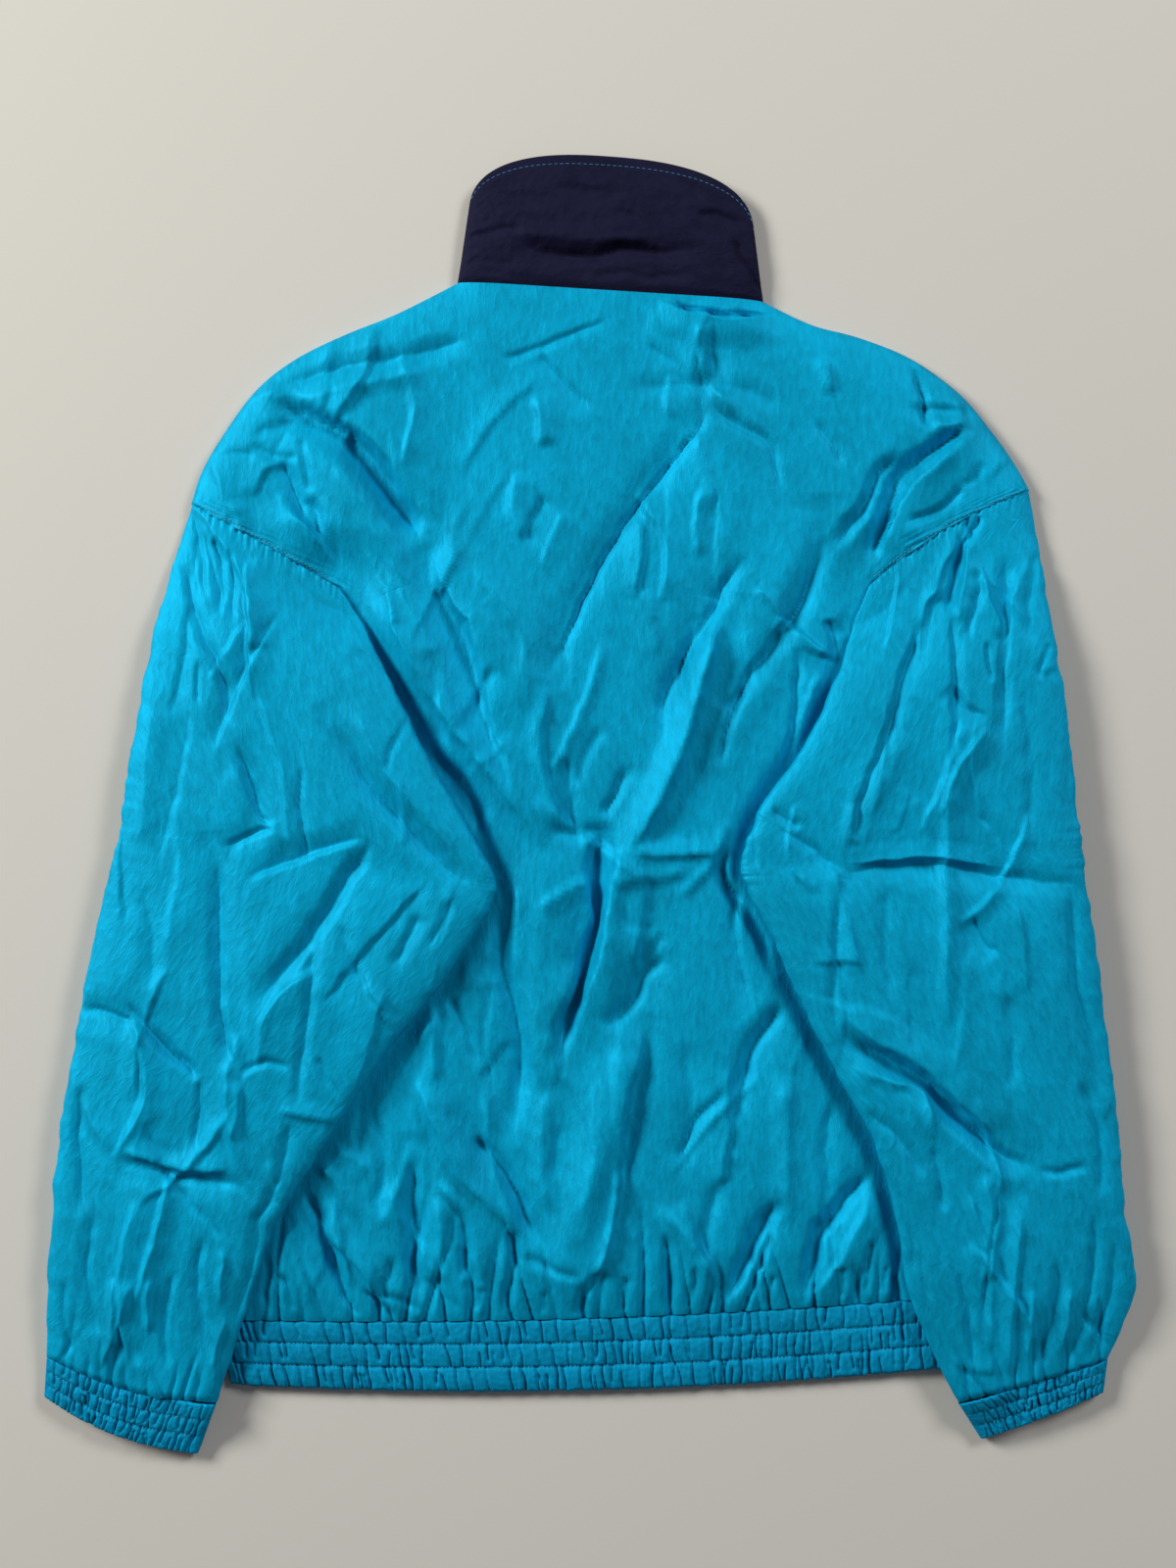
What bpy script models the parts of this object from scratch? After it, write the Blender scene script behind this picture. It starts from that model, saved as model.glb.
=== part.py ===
"""A nylon track jacket, zipped up and laid face down on a flat surface, with its back on top.

The tables and the sizes are in millimetres, and every mesh is written in metres. X runs across the
jacket, with the wearer's left at -X, Y runs up the back to the collar, and Z up from the surface
that the jacket lies on. The origin is on that surface, under the middle of the jacket.
"""

import math
from collections import namedtuple

import bmesh
import bpy
import numpy as np

MM = 0.001
SEAM = 0.3  # the gap between two pieces where they are sewn or lie on each other

# Cloth, as thick as it lies with its seam allowances
SHELL_WALL = 1.5
FRONT_WALL = 2.0
COLLAR_WALL = 2.0
BAND_WALL = 2.4
TAPE_WALL = 1.0

# Heights above the surface
BACK_RIM = FRONT_WALL + SEAM + SHELL_WALL  # the back where it rolls under to a side seam
ROLL_WIDTH = 30.0  # how far in from a side seam the back has risen
LAPPED = 8.0  # the back where a sleeve lies on it
LAPPED_SLOPE = 0.35
BARE_FADE = (7.0, 32.0)  # the back rises between these distances from a sleeve's edge
PINCH_FADE = (9.0, 42.0)  # and from the end of the armhole seam that shows
BACK_HIGH = 13.0
NECK_HIGH = 11.5
WAIST_HIGH = 7.5
SEAM_FADE = 38.0  # how far from the neck or waist seam the back has its full height
SLEEVE_REST = LAPPED + SEAM
REST_FADE = (14.0, 44.0)  # a sleeve comes down to the surface between these distances from the body
SLEEVE_LEAST = 4.5  # a sleeve's least height, its two walls and the air between them
FOLD_SHARE = 0.5  # where a side fold lies between the underside and the top of a tube
TUBE_TOP = 3.0  # how square a flattened tube's section is, above and below its side folds
TUBE_UNDERSIDE = 6.0

# Zip
ZIP_X = 6.0
ZIP_GAP = 12.0  # between the two fronts
SLIDER_Y = 318.5
SLIDER_LIFT = 3.5  # the collar stands off the surface round the slider
LIFT_ACROSS = (16.0, 45.0)
LIFT_ALONG = (256.0, 286.0)
TAPE_LOW, TAPE_BEND, TAPE_HIGH = -347.7, (240.0, 250.0), 330.0
TAPE_HALF_GAP = 0.15
TAPE_PARTING = 2.6  # how much further apart the tapes are above the slider
PARTING_ALONG = (312.0, 326.0)
TAPE_WIDTH = 16.0  # from the zip's middle to a tape's outer edge
TAPE_LEAD = 8.0  # a tape rises this far below where the collar does

# The body's two edges, from the neck down. The left of the picture plane is the wearer's left.
Station = namedtuple("Station", "left_x left_y right_x right_y")
SHOULDER = (
    Station(-80.4, 320.4, 108.0, 308.7),
    Station(-118.0, 301.4, 138.0, 294.6),
    Station(-150.0, 288.6, 166.0, 287.2),
    Station(-180.0, 273.6, 198.0, 274.2),
    Station(-204.0, 254.4, 228.0, 252.6),
    Station(-225.0, 225.6, 248.4, 228.6),
    Station(-237.0, 204.6, 261.6, 210.0),
    Station(-243.6, 184.8, 271.2, 193.2),
)
ARMHOLE_FRONT = Station(-152.4, 132.6, 172.2, 134.4)  # where the sleeve folds over the seam
SIDE = (
    Station(-225.0, 112.0, 243.0, 112.0),
    Station(-250.0, 20.0, 262.0, 20.0),
    Station(-258.0, -100.0, 270.0, -100.0),
    Station(-250.0, -220.0, 258.0, -220.0),
    Station(-229.0, -315.9, 226.0, -301.5),
)
HEM = Station(-219.0, -355.8, 225.0, -345.0)
WAIST_SAG = -6.5  # the waist seam curves down by this in its middle
HEM_SAG = -8.8
UNDERARM_TUCK = 9  # how many seam gaps a front stays in from the body's edge under the arm

# Each sleeve's cross sections, from the armhole to the cuff seam: its outer and inner edge, and the
# height of its top near each.
Section = namedtuple("Section", "outer_x outer_y inner_x inner_y outer_top inner_top")
LEFT_SECTIONS = (
    Section(-243.6, 184.8, -152.4, 132.6, 5.0, 13.0),
    Section(-252.0, 156.6, -140.0, 114.0, 13.0, 22.0),
    Section(-262.2, 120.6, -121.5, 78.6, 18.0, 27.0),
    Section(-271.2, 78.6, -102.0, 38.0, 20.0, 30.0),
    Section(-279.0, 36.6, -79.5, -2.4, 21.0, 31.0),
    Section(-284.0, 5.0, -61.0, -34.0, 22.0, 30.0),
    Section(-287.0, -18.0, -55.8, -50.4, 22.0, 28.0),
    Section(-292.0, -38.0, -62.0, -67.0, 22.0, 30.0),
    Section(-299.0, -68.0, -90.0, -110.4, 22.0, 32.0),
    Section(-307.2, -107.4, -117.0, -143.4, 22.0, 31.0),
    Section(-313.8, -143.4, -141.0, -178.0, 21.0, 30.0),
    Section(-322.2, -191.4, -169.5, -220.0, 21.0, 28.0),
    Section(-327.0, -233.4, -192.0, -259.0, 20.0, 26.0),
    Section(-331.0, -290.0, -206.0, -300.0, 18.0, 22.0),
    Section(-332.4, -338.4, -226.8, -365.4, 12.0, 16.0),
)
RIGHT_SECTIONS = (
    Section(271.2, 193.2, 172.2, 134.4, 5.0, 13.0),
    Section(278.0, 156.0, 162.0, 108.6, 13.0, 22.0),
    Section(283.8, 116.0, 149.0, 72.6, 18.0, 27.0),
    Section(290.0, 76.0, 129.5, 33.6, 20.0, 30.0),
    Section(295.2, 36.6, 108.0, 3.6, 21.0, 31.0),
    Section(299.0, -5.0, 96.5, -22.0, 22.0, 30.0),
    Section(302.0, -25.0, 93.0, -38.4, 22.0, 28.0),
    Section(304.0, -42.0, 97.0, -52.0, 22.0, 30.0),
    Section(309.0, -77.0, 114.0, -83.4, 22.0, 32.0),
    Section(315.0, -118.0, 129.0, -119.0, 22.0, 31.0),
    Section(321.0, -165.0, 152.0, -165.0, 21.0, 30.0),
    Section(325.0, -203.0, 174.0, -206.0, 21.0, 28.0),
    Section(328.2, -247.0, 188.0, -256.0, 20.0, 26.0),
    Section(334.8, -295.0, 198.0, -306.0, 18.0, 22.0),
    Section(319.2, -340.2, 226.2, -365.4, 12.0, 16.0),
)

# The largest folds, each a line through three points. A trough's height is below zero.
Fold = namedtuple("Fold", "x0 y0 x1 y1 x2 y2 width height")
BACK_FOLDS = (
    Fold(-195.0, 248.4, -130.0, 205.5, -105.0, 168.0, 10.0, -8.0),
    Fold(-186.0, 224.0, -150.0, 192.6, -116.0, 132.0, 15.0, 6.0),
    Fold(-100.0, 158.0, -78.0, 105.0, -44.0, 25.0, 9.0, -5.0),
    Fold(-166.0, 186.0, -110.0, 97.0, -64.0, 24.0, 12.0, 7.0),
    Fold(-84.0, 165.0, -54.0, 96.0, -22.0, 0.0, 14.0, 4.0),
    Fold(-132.0, 138.6, -67.8, 29.4, -21.6, -18.0, 9.0, 4.0),
    Fold(73.0, 241.8, 12.0, 157.0, -24.6, 76.8, 9.0, -5.0),
    Fold(94.2, 150.0, 66.6, 110.4, 45.6, 55.8, 11.0, -4.0),
    Fold(79.2, 126.0, 59.4, 42.0, 21.0, -28.8, 11.0, 6.0),
    Fold(90.0, 130.0, 73.0, 50.0, 44.0, 2.0, 9.0, -4.0),
    Fold(146.0, 190.0, 130.8, 126.6, 80.4, 60.0, 10.0, -5.0),
    Fold(206.4, 228.6, 183.0, 172.0, 150.0, 86.0, 11.0, -6.0),
    Fold(232.0, 246.0, 214.0, 222.0, 196.0, 206.0, 14.0, 5.0),
    Fold(130.0, 180.0, 112.0, 110.0, 72.0, 20.0, 13.0, 4.0),
    Fold(-50.0, 60.0, -18.0, -4.0, 0.0, -24.0, 10.0, -4.0),
    Fold(10.2, -12.0, 2.4, -56.0, -17.0, -146.0, 10.0, -7.0),
    Fold(22.0, -26.0, 15.0, -80.0, 10.0, -150.0, 12.0, 5.0),
    Fold(-26.0, -30.0, -30.0, -90.0, -34.0, -160.0, 15.0, 6.0),
    Fold(22.0, -36.0, 48.0, -32.0, 76.0, -31.0, 9.0, 4.0),
    Fold(38.0, -126.0, 20.0, -216.0, -4.0, -300.0, 9.0, -6.0),
    Fold(18.0, -150.0, 2.0, -220.0, -22.0, -296.0, 12.0, 5.0),
    Fold(-55.3, -52.0, -44.5, -129.0, -48.0, -208.0, 10.0, -5.0),
    Fold(-100.0, -160.0, -75.0, -222.0, -46.0, -262.0, 9.0, 4.0),
    Fold(-84.0, -184.0, -56.0, -222.0, -30.0, -278.0, 8.0, -4.0),
    Fold(-108.0, -200.0, -108.0, -262.0, -101.0, -312.0, 10.0, -5.0),
    Fold(-176.0, -226.0, -160.0, -276.0, -141.0, -314.0, 9.0, -5.0),
    Fold(48.0, -88.0, 33.0, -116.0, 8.0, -138.0, 10.0, -4.0),
    Fold(120.0, -122.0, 95.0, -168.0, 88.0, -214.0, 9.0, -4.0),
    Fold(118.0, -236.0, 103.0, -264.0, 83.0, -304.0, 9.0, -4.0),
    Fold(176.0, -218.0, 148.0, -258.0, 133.0, -302.0, 10.0, -5.0),
    Fold(36.0, 298.0, 76.0, 291.0, 122.0, 290.0, 9.0, 4.0),
)
LEFT_FOLDS = (
    Fold(-229.0, -16.0, -220.0, -90.0, -203.0, -162.0, 11.0, -5.0),
    Fold(-130.0, -22.0, -165.0, -76.0, -206.0, -126.0, 11.0, -4.0),
    Fold(-212.0, 40.0, -199.0, -4.0, -222.0, -28.0, 9.0, -4.0),
    Fold(-162.0, 62.0, -123.0, 2.0, -68.0, -48.0, 9.0, -4.0),
    Fold(-314.0, -124.0, -292.0, -127.0, -268.0, -136.0, 9.0, -4.0),
    Fold(-284.0, -112.0, -246.0, -156.0, -238.0, -212.0, 10.0, -4.0),
    Fold(-286.0, -218.0, -246.0, -226.0, -200.0, -233.0, 10.0, -4.0),
    Fold(-308.0, -172.0, -310.0, -208.0, -306.0, -250.0, 9.0, -3.0),
    Fold(-270.0, -180.0, -272.0, -260.0, -280.0, -330.0, 12.0, 4.0),
)
RIGHT_FOLDS = (
    Fold(228.0, 172.0, 206.0, 114.0, 192.0, 68.0, 9.0, -5.0),
    Fold(221.0, 74.0, 218.0, -30.0, 218.0, -132.0, 9.0, 4.0),
    Fold(150.0, -140.0, 204.0, -172.0, 276.0, -224.0, 11.0, -7.0),
    Fold(160.0, -160.0, 206.0, -188.0, 262.0, -232.0, 10.0, 4.0),
    Fold(150.0, -42.0, 216.0, -40.0, 296.0, -50.0, 9.0, -4.0),
    Fold(154.0, -44.0, 170.0, 6.0, 192.0, 44.0, 10.0, 4.0),
    Fold(250.0, 170.0, 252.0, 120.0, 256.0, 60.0, 9.0, -4.0),
    Fold(294.0, -50.0, 299.0, -114.0, 318.0, -182.0, 9.0, -3.0),
    Fold(262.0, -238.0, 268.0, -284.0, 276.0, -328.0, 12.0, 4.0),
)
COLLAR_FOLDS = (
    Fold(-46.0, 343.0, 8.0, 336.0, 74.0, 340.0, 8.0, -3.0),
    Fold(-60.0, 356.0, -22.0, 352.0, 30.0, 356.0, 9.0, 2.0),
    Fold(62.0, 362.0, 82.0, 356.0, 98.0, 346.0, 7.0, -2.0),
)

Sleeve = namedtuple("Sleeve", "side sections folds head_bow cuff_bow cuff_end")
LEFT = Sleeve("left", LEFT_SECTIONS, LEFT_FOLDS, 0.5, -6.5, ((-334.2, -363.0), (-239.4, -398.4)))
RIGHT = Sleeve("right", RIGHT_SECTIONS, RIGHT_FOLDS, 5.5, -1.0, ((316.8, -360.6), (241.2, -389.4)))
HEAD_FADE = 3.5  # sections over which a sleeve's underside leaves the armhole's shape
TOP_FADE = 2.5  # and over which its top leaves the height of the seam

# The collar, from its seam to its top edge
Level = namedtuple("Level", "left_x left_y right_x right_y rise drop top share")
COLLAR_BASE = Level(-80.4, 320.4, 108.0, 308.7, 0.0, 66.0, 12.0, 0.18)
COLLAR_TOP = Level(-73.2, 362.0, 102.0, 349.0, 40.6, 24.0, 10.0, 0.4)
COLLAR_CROWN = 2.5  # how much higher the collar lies half way up
COLLAR_BACK = 3.6  # how square the collar's curve is seen from above, at the back and the front
COLLAR_FRONT = 2.0

# Gathers
BAND_WAVES = 70
CUFF_WAVES = 22
GATHER_ROWS = 3
BAND_TOP = 6.9
BAND_GATHER = 1.05
CUFF_TOP = 11.5
CUFF_TAPER = 1.5  # how much lower a cuff is at its opening
CUFF_GATHER = 1.3
END_FADE = 14.0  # how far from the waistband's ends it has its full height
GATHER_PUFF = 0.7  # the share of their height that gathers lose at a row of stitches
GATHER_UNEVEN = 0.25  # the share by which they differ from one another
GATHER_RATES = (1.7, 0.31, 5.0)  # how fast they change along the band, slowly along it, and down it
GATHER_DRIFT = 0.6

# How finely the pieces are made
BODY_ROWS = {"shoulder": 9, "armhole": 6, "lip": 4, "side": 15}
BODY_COLUMNS = 31
SLEEVE_RINGS = 22
SLEEVE_ACROSS = {"upper": 15, "lower": 8}
CUFF_BELOW = 6
COLLAR_ACROSS = {"upper": 18, "lower": 8}
COLLAR_ROWS = 7

FINISHES = {
    "shell": {"colour": (0.003, 0.288, 0.494, 1.0), "roughness": 0.42, "metallic": 0.0},
    "navy": {"colour": (0.012, 0.012, 0.038, 1.0), "roughness": 0.55, "metallic": 0.0},
    "tape": {"colour": (0.015, 0.015, 0.04, 1.0), "roughness": 0.7, "metallic": 0.0},
    "metal": {"colour": (0.32, 0.32, 0.34, 1.0), "roughness": 0.35, "metallic": 1.0},
}


# Curves and distances


def smooth(rows, at):
    """Points of a Catmull-Rom curve through a table's rows, at places counted in rows."""
    rows = np.asarray(rows, float)
    last = len(rows) - 1
    at = np.clip(np.asarray(at, float), 0, last)
    i = np.minimum(at.astype(int), last - 1)
    u = (at - i)[:, None]
    before, start = rows[np.maximum(i - 1, 0)], rows[i]
    end, after = rows[i + 1], rows[np.minimum(i + 2, last)]
    leave, arrive = (end - before) / 2, (after - start) / 2
    return (
        start * (2 * u**3 - 3 * u**2 + 1)
        + leave * (u**3 - 2 * u**2 + u)
        + end * (3 * u**2 - 2 * u**3)
        + arrive * (u**3 - u**2)
    )


def ease(low, high, value):
    """0 below low, 1 above high, and a smooth step between them."""
    t = np.clip((value - low) / (high - low), 0, 1)
    return t * t * (3 - 2 * t)


def blend(start, end, share):
    return start + (end - start) * share


def nearest(points, line):
    """Each point's distance to a line of points, and how far along the line that is, from 0 to 1."""
    line = np.asarray(line, float)
    best = np.full(points.shape[:-1], np.inf)
    along = np.zeros(points.shape[:-1])
    for i, (a, b) in enumerate(zip(line[:-1], line[1:])):
        step = b - a
        t = np.clip(((points - a) @ step) / (step @ step), 0, 1)
        distance = np.linalg.norm(points - a - t[..., None] * step, axis=-1)
        along = np.where(distance < best, (i + t) / (len(line) - 1), along)
        best = np.minimum(best, distance)
    return best, along


def inside(points, outline):
    outline = np.asarray(outline, float)
    within = np.zeros(points.shape[:-1], bool)
    x, y = points[..., 0], points[..., 1]
    for (ax, ay), (bx, by) in zip(outline, np.roll(outline, -1, axis=0)):
        crosses = (ay > y) != (by > y)
        with np.errstate(divide="ignore", invalid="ignore"):
            within ^= crosses & (x < ax + (y - ay) * (bx - ax) / (by - ay))
    return within


def fold_height(points, folds):
    """What the folds add to a surface's height."""
    total = np.zeros(points.shape[:-1])
    for fold in folds:
        start, through, end = np.reshape(fold[:6], (3, 2))
        control = 2 * through - (start + end) / 2
        t = np.linspace(0, 1, 11)[:, None]
        line = start * (1 - t) ** 2 + 2 * control * t * (1 - t) + end * t**2
        distance, along = nearest(points, line)
        taper = np.sin(np.pi * along) ** 0.6
        total += fold.height * taper * np.exp(-((distance / fold.width) ** 2))
    return total


def flat_tube(a, power):
    """The height of a flattened tube across its width: 0 at its side folds and 1 between them."""
    return (1 - np.abs(2 * a - 1) ** power) ** (1 / power)


def even(count, crowd):
    """Places from 0 to 1, crowded towards both ends."""
    k = np.linspace(0, 1, count + 1)
    return blend(k, (1 - np.cos(np.pi * k)) / 2, crowd)


def zip_edge(side):
    """The front edge beside the zip."""
    return ZIP_X + (ZIP_GAP / 2 if side == "right" else -ZIP_GAP / 2)


# The body's outline


def armhole_seam(sleeve, a):
    """The seam that shows, from the shoulder's end to the fold of the sleeve."""
    head = sleeve.sections[0]
    start = np.array([head.outer_x, head.outer_y])
    chord = np.array([head.inner_x, head.inner_y]) - start
    up = np.array([-chord[1], chord[0]]) / np.linalg.norm(chord)
    up *= np.sign(up[1])
    a = np.asarray(a)[:, None]
    return start + chord * a + up * sleeve.head_bow * np.sin(np.pi * a)


def body_edges():
    """The back's left and right edge points, one row of four numbers for each row of the back."""
    rows = BODY_ROWS
    shoulder = smooth(SHOULDER, np.linspace(0, len(SHOULDER) - 1, rows["shoulder"] + 1))
    a = np.linspace(0, 1, rows["armhole"] + 1)[1:]
    armhole = np.hstack([armhole_seam(LEFT, a), armhole_seam(RIGHT, a)])
    share = np.linspace(0, 1, rows["lip"] + 1)[1:, None]
    lip = blend(np.array(ARMHOLE_FRONT), np.array(SIDE[0]), share)
    side = smooth(SIDE, np.linspace(0, len(SIDE) - 1, rows["side"] + 1))[1:]
    return np.vstack([shoulder, armhole, lip, side])


def seam_line(station, sag, s):
    """A seam across the body, at places s from its left end to its right."""
    s = np.asarray(s)[:, None]
    line = blend(np.array(station[:2]), np.array(station[2:]), s)
    return line + np.array([0.0, sag]) * 4 * s * (1 - s)


def rolled_edges():
    """The shoulder and side seams, where the back rolls under, down the left and the right."""
    shoulder = smooth(SHOULDER, np.linspace(0, len(SHOULDER) - 1, 22))
    side = smooth(SIDE, np.linspace(0, len(SIDE) - 1, 25))
    return [line[:, i : i + 2] for line in (shoulder, side) for i in (0, 2)]


def body_under_sleeves():
    """The outline of the body below the armholes, which the sleeves lie on."""
    side = smooth(SIDE, np.linspace(0, len(SIDE) - 1, 25))
    left = [ARMHOLE_FRONT[:2], *side[:, :2], HEM[:2]]
    right = [ARMHOLE_FRONT[2:], *side[:, 2:], HEM[2:]]
    return np.array(left + right[::-1])


def inner_edge(sleeve):
    sections = smooth(sleeve.sections, np.linspace(0, len(sleeve.sections) - 1, 57))
    return sections[:, 2:4]


def sleeve_cover(sleeve):
    """An outline that holds all of the body on which this sleeve lies."""
    head, far = sleeve.sections[0], 1.5 * sleeve.sections[0].outer_x
    below = [sleeve.cuff_end[1], (far, sleeve.cuff_end[1][1]), (far, head.outer_y)]
    return np.array([*inner_edge(sleeve), *below, (head.outer_x, head.outer_y)])


# Heights


def bare(sleeve, points):
    """0 where the sleeve lies on the back, rising to 1 away from it."""
    distance, _ = nearest(points, inner_edge(sleeve))
    shown = np.where(inside(points, sleeve_cover(sleeve)), 0, ease(*BARE_FADE, distance))
    return shown * ease(*PINCH_FADE, np.linalg.norm(points - inner_edge(sleeve)[0], axis=-1))


def back_height(points):
    """The back's outer surface."""
    rim = np.min([nearest(points, line)[0] for line in rolled_edges()], axis=0)
    places = np.linspace(0, 1, 13)
    neck, _ = nearest(points, seam_line(SHOULDER[0], 0.0, places))
    waist, _ = nearest(points, seam_line(SIDE[-1], WAIST_SAG, places))
    high = BACK_HIGH + fold_height(points, BACK_FOLDS)
    high = blend(NECK_HIGH, high, ease(0, SEAM_FADE, neck))
    high = blend(WAIST_HIGH, high, ease(0, SEAM_FADE, waist) ** 0.6)
    inward = 1 - np.clip(rim / ROLL_WIDTH, 0, 1)
    shown = BACK_RIM + (high - BACK_RIM) * np.sqrt(1 - inward**2)
    lapped = np.minimum(LAPPED, BACK_RIM + LAPPED_SLOPE * rim)
    return blend(lapped, shown, bare(LEFT, points) * bare(RIGHT, points))


def sleeve_low(points):
    """The underside of a sleeve or cuff: on the body, or on the surface beside it."""
    body = body_under_sleeves()
    distance, _ = nearest(points, np.vstack([body, body[:1]]))
    distance = np.where(inside(points, body), 0, distance)
    return SLEEVE_REST * (1 - ease(*REST_FADE, distance))


def collar_lift(points, lead=0.0):
    """How far the collar's front and the zip stand off the surface round the slider."""
    across = 1 - ease(*LIFT_ACROSS, np.abs(points[..., 0] - ZIP_X))
    along = np.clip((points[..., 1] + lead - LIFT_ALONG[0]) / (LIFT_ALONG[1] - LIFT_ALONG[0]), 0, 1)
    return SLIDER_LIFT * across * along


# Sections of the tubes


def tube_half(place, a, low, top, share, wall, upper, power):
    """Outer and inner points across one half of a flattened tube.

    place holds the outer points seen from above, and a how far each is from one side fold to the
    other. The inner wall lies inside the outer one, straight below or above it but for the folds.
    """
    middle = low + share * (top - low)
    full = flat_tube(a, power)
    reach = top - middle if upper else low - middle
    thinner = wall if upper else -wall
    outer = np.column_stack([place, middle + reach * full])
    towards = np.gradient(place, a, axis=0)
    towards *= (wall * (1 - 2 * a) / np.linalg.norm(towards, axis=1))[:, None]
    inner = np.column_stack([place + towards, middle + (reach - thinner) * full])
    return outer, inner


def sleeve_place(sleeve, f, a, upper):
    """Points across a sleeve, seen from above, at f sections from the armhole."""
    section = smooth(sleeve.sections, [f])[0]
    start, end = section[:2], section[2:4]
    chord = end - start
    side = np.array([-chord[1], chord[0]]) / np.linalg.norm(chord)
    side *= np.sign(side[1])
    a = np.asarray(a)[:, None]
    last = len(sleeve.sections) - 1
    place = start + chord * a
    place = place + side * sleeve.cuff_bow * ease(last - 2.0, last, f) * np.sin(np.pi * a)
    left = max(0.0, 1 - f / HEAD_FADE)
    if upper:
        return place + side * sleeve.head_bow * left * np.sin(np.pi * a)
    head = sleeve.sections[0]
    underarm = np.array(SIDE[0][:2] if sleeve is LEFT else SIDE[0][2:])
    between = np.array([head.outer_x + head.inner_x, head.outer_y + head.inner_y]) / 2
    return place + (underarm - between) * left * (1 - np.abs(2 * a - 1))


def sleeve_top(sleeve, f, a, place):
    section = smooth(sleeve.sections, [f])[0]
    own = blend(section[4], section[5], a) + fold_height(place, sleeve.folds)
    seam = back_height(armhole_seam(sleeve, a))
    top = blend(seam, own, ease(0, TOP_FADE, f))
    return np.maximum(top, sleeve_low(place) + SLEEVE_LEAST)


def sleeve_ring(sleeve, f):
    upper, lower = even(SLEEVE_ACROSS["upper"], 0.6), even(SLEEVE_ACROSS["lower"], 0.6)[::-1]
    halves = []
    for a, is_upper, power in ((upper, True, TUBE_TOP), (lower, False, TUBE_UNDERSIDE)):
        place = sleeve_place(sleeve, f, a, is_upper)
        top, low = sleeve_top(sleeve, f, a, place), sleeve_low(place)
        half = tube_half(place, a, low, top, FOLD_SHARE, SHELL_WALL, is_upper, power)
        halves.append(half if is_upper else [points[1:-1] for points in half])
    return [np.vstack(pair) for pair in zip(*halves)]


def gather(waves, rows, v, amount, ends):
    """The height of the gathers down a column: they are lowest at the rows of stitches."""
    columns = 2 * waves + 1
    k = np.arange(columns)
    puff = 1 - GATHER_PUFF + GATHER_PUFF * np.abs(np.sin(np.pi * rows * v))
    along, slowly, down = GATHER_RATES
    wave = np.sin(along * k + GATHER_DRIFT * np.sin(slowly * k) + down * v)
    uneven = 1 - GATHER_UNEVEN + GATHER_UNEVEN * wave
    return amount * puff * uneven * np.where(k % 2, 1.0, -1.0) * ends


def cuff_ring(sleeve, v):
    """One ring of a cuff, v from 0 at the sleeve's seam to 1 at its opening."""
    seam = np.array(sleeve.sections[-1][:4]).reshape(2, 2)
    seam = seam + np.array([0, -SEAM])
    start, end = blend(seam, np.array(sleeve.cuff_end), v)
    chord = end - start
    side = np.array([-chord[1], chord[0]]) / np.linalg.norm(chord)
    side *= np.sign(side[1])
    upper = np.linspace(0, 1, 2 * CUFF_WAVES + 1)
    lower = even(CUFF_BELOW, 0.6)[::-1]
    halves = []
    for a, is_upper, power in ((upper, True, TUBE_TOP), (lower, False, TUBE_UNDERSIDE)):
        along = a[:, None]
        place = start + chord * along + side * sleeve.cuff_bow * np.sin(np.pi * along)
        low = sleeve_low(place)
        top = low + CUFF_TOP - CUFF_TAPER * v
        outer, inner = tube_half(place, a, low, top, FOLD_SHARE, BAND_WALL, is_upper, power)
        if is_upper:
            outer[:, 2] += gather(CUFF_WAVES, GATHER_ROWS, v, CUFF_GATHER, flat_tube(a, 2.0) ** 2)
        halves.append((outer, inner) if is_upper else (outer[1:-1], inner[1:-1]))
    return [np.vstack(pair) for pair in zip(*halves)]


def collar_level(v):
    return Level(*blend(np.array(COLLAR_BASE), np.array(COLLAR_TOP), v))


def collar_place(level, a, upper, gap=0.0):
    """Points along one height of the collar, its back half or its front half."""
    start = np.array([level.left_x - gap, level.left_y])
    end = np.array([level.right_x + gap, level.right_y])
    line = start + (end - start) * a[:, None]
    if upper:
        reach = level.rise * flat_tube(a, COLLAR_BACK)
    else:
        reach = -(level.drop + gap) * flat_tube(a, COLLAR_FRONT)
    return line + np.column_stack([np.zeros_like(reach), reach])


def neckline(side, level=COLLAR_BASE):
    """Places along the collar's front half, from its side fold to the zip."""
    share = (zip_edge(side) - level.left_x) / (level.right_x - level.left_x)
    k = 1 - np.cos(np.pi / 2 * np.linspace(0, 1, COLLAR_ACROSS["lower"] + 1))
    return k * share if side == "left" else 1 - k * (1 - share)


def collar_ring(v):
    """One height of the collar, from one end at the zip round the back to the other."""
    level = collar_level(v)
    runs = (
        (neckline("left", level)[::-1], False),
        (even(COLLAR_ACROSS["upper"], 0.6)[1:-1], True),
        (neckline("right", level), False),
    )
    outer, inner = [], []
    for a, is_upper in runs:
        place = collar_place(level, a, is_upper)
        place[:, 1] += SEAM * (1 - v)
        low = collar_lift(place)
        crown = COLLAR_CROWN * math.sin(math.pi * v)
        top = level.top + crown + fold_height(place, COLLAR_FOLDS)
        middle = level.share * level.top
        full = flat_tube(a, TUBE_TOP if is_upper else TUBE_UNDERSIDE)
        thinner = COLLAR_WALL if is_upper else -COLLAR_WALL
        reach = (top if is_upper else low) - middle
        towards = np.column_stack([COLLAR_WALL * (1 - 2 * a), np.zeros_like(a)])
        outer.append(np.column_stack([place, middle + reach * full]))
        inner.append(np.column_stack([place + towards, middle + (reach - thinner) * full]))
    return np.vstack(outer), np.vstack(inner)


# Making objects


def clear_scene():
    for obj in list(bpy.data.objects):
        bpy.data.objects.remove(obj, do_unlink=True)


def collection(name):
    made = bpy.data.collections.new(name)
    bpy.context.scene.collection.children.link(made)
    return made


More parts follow.
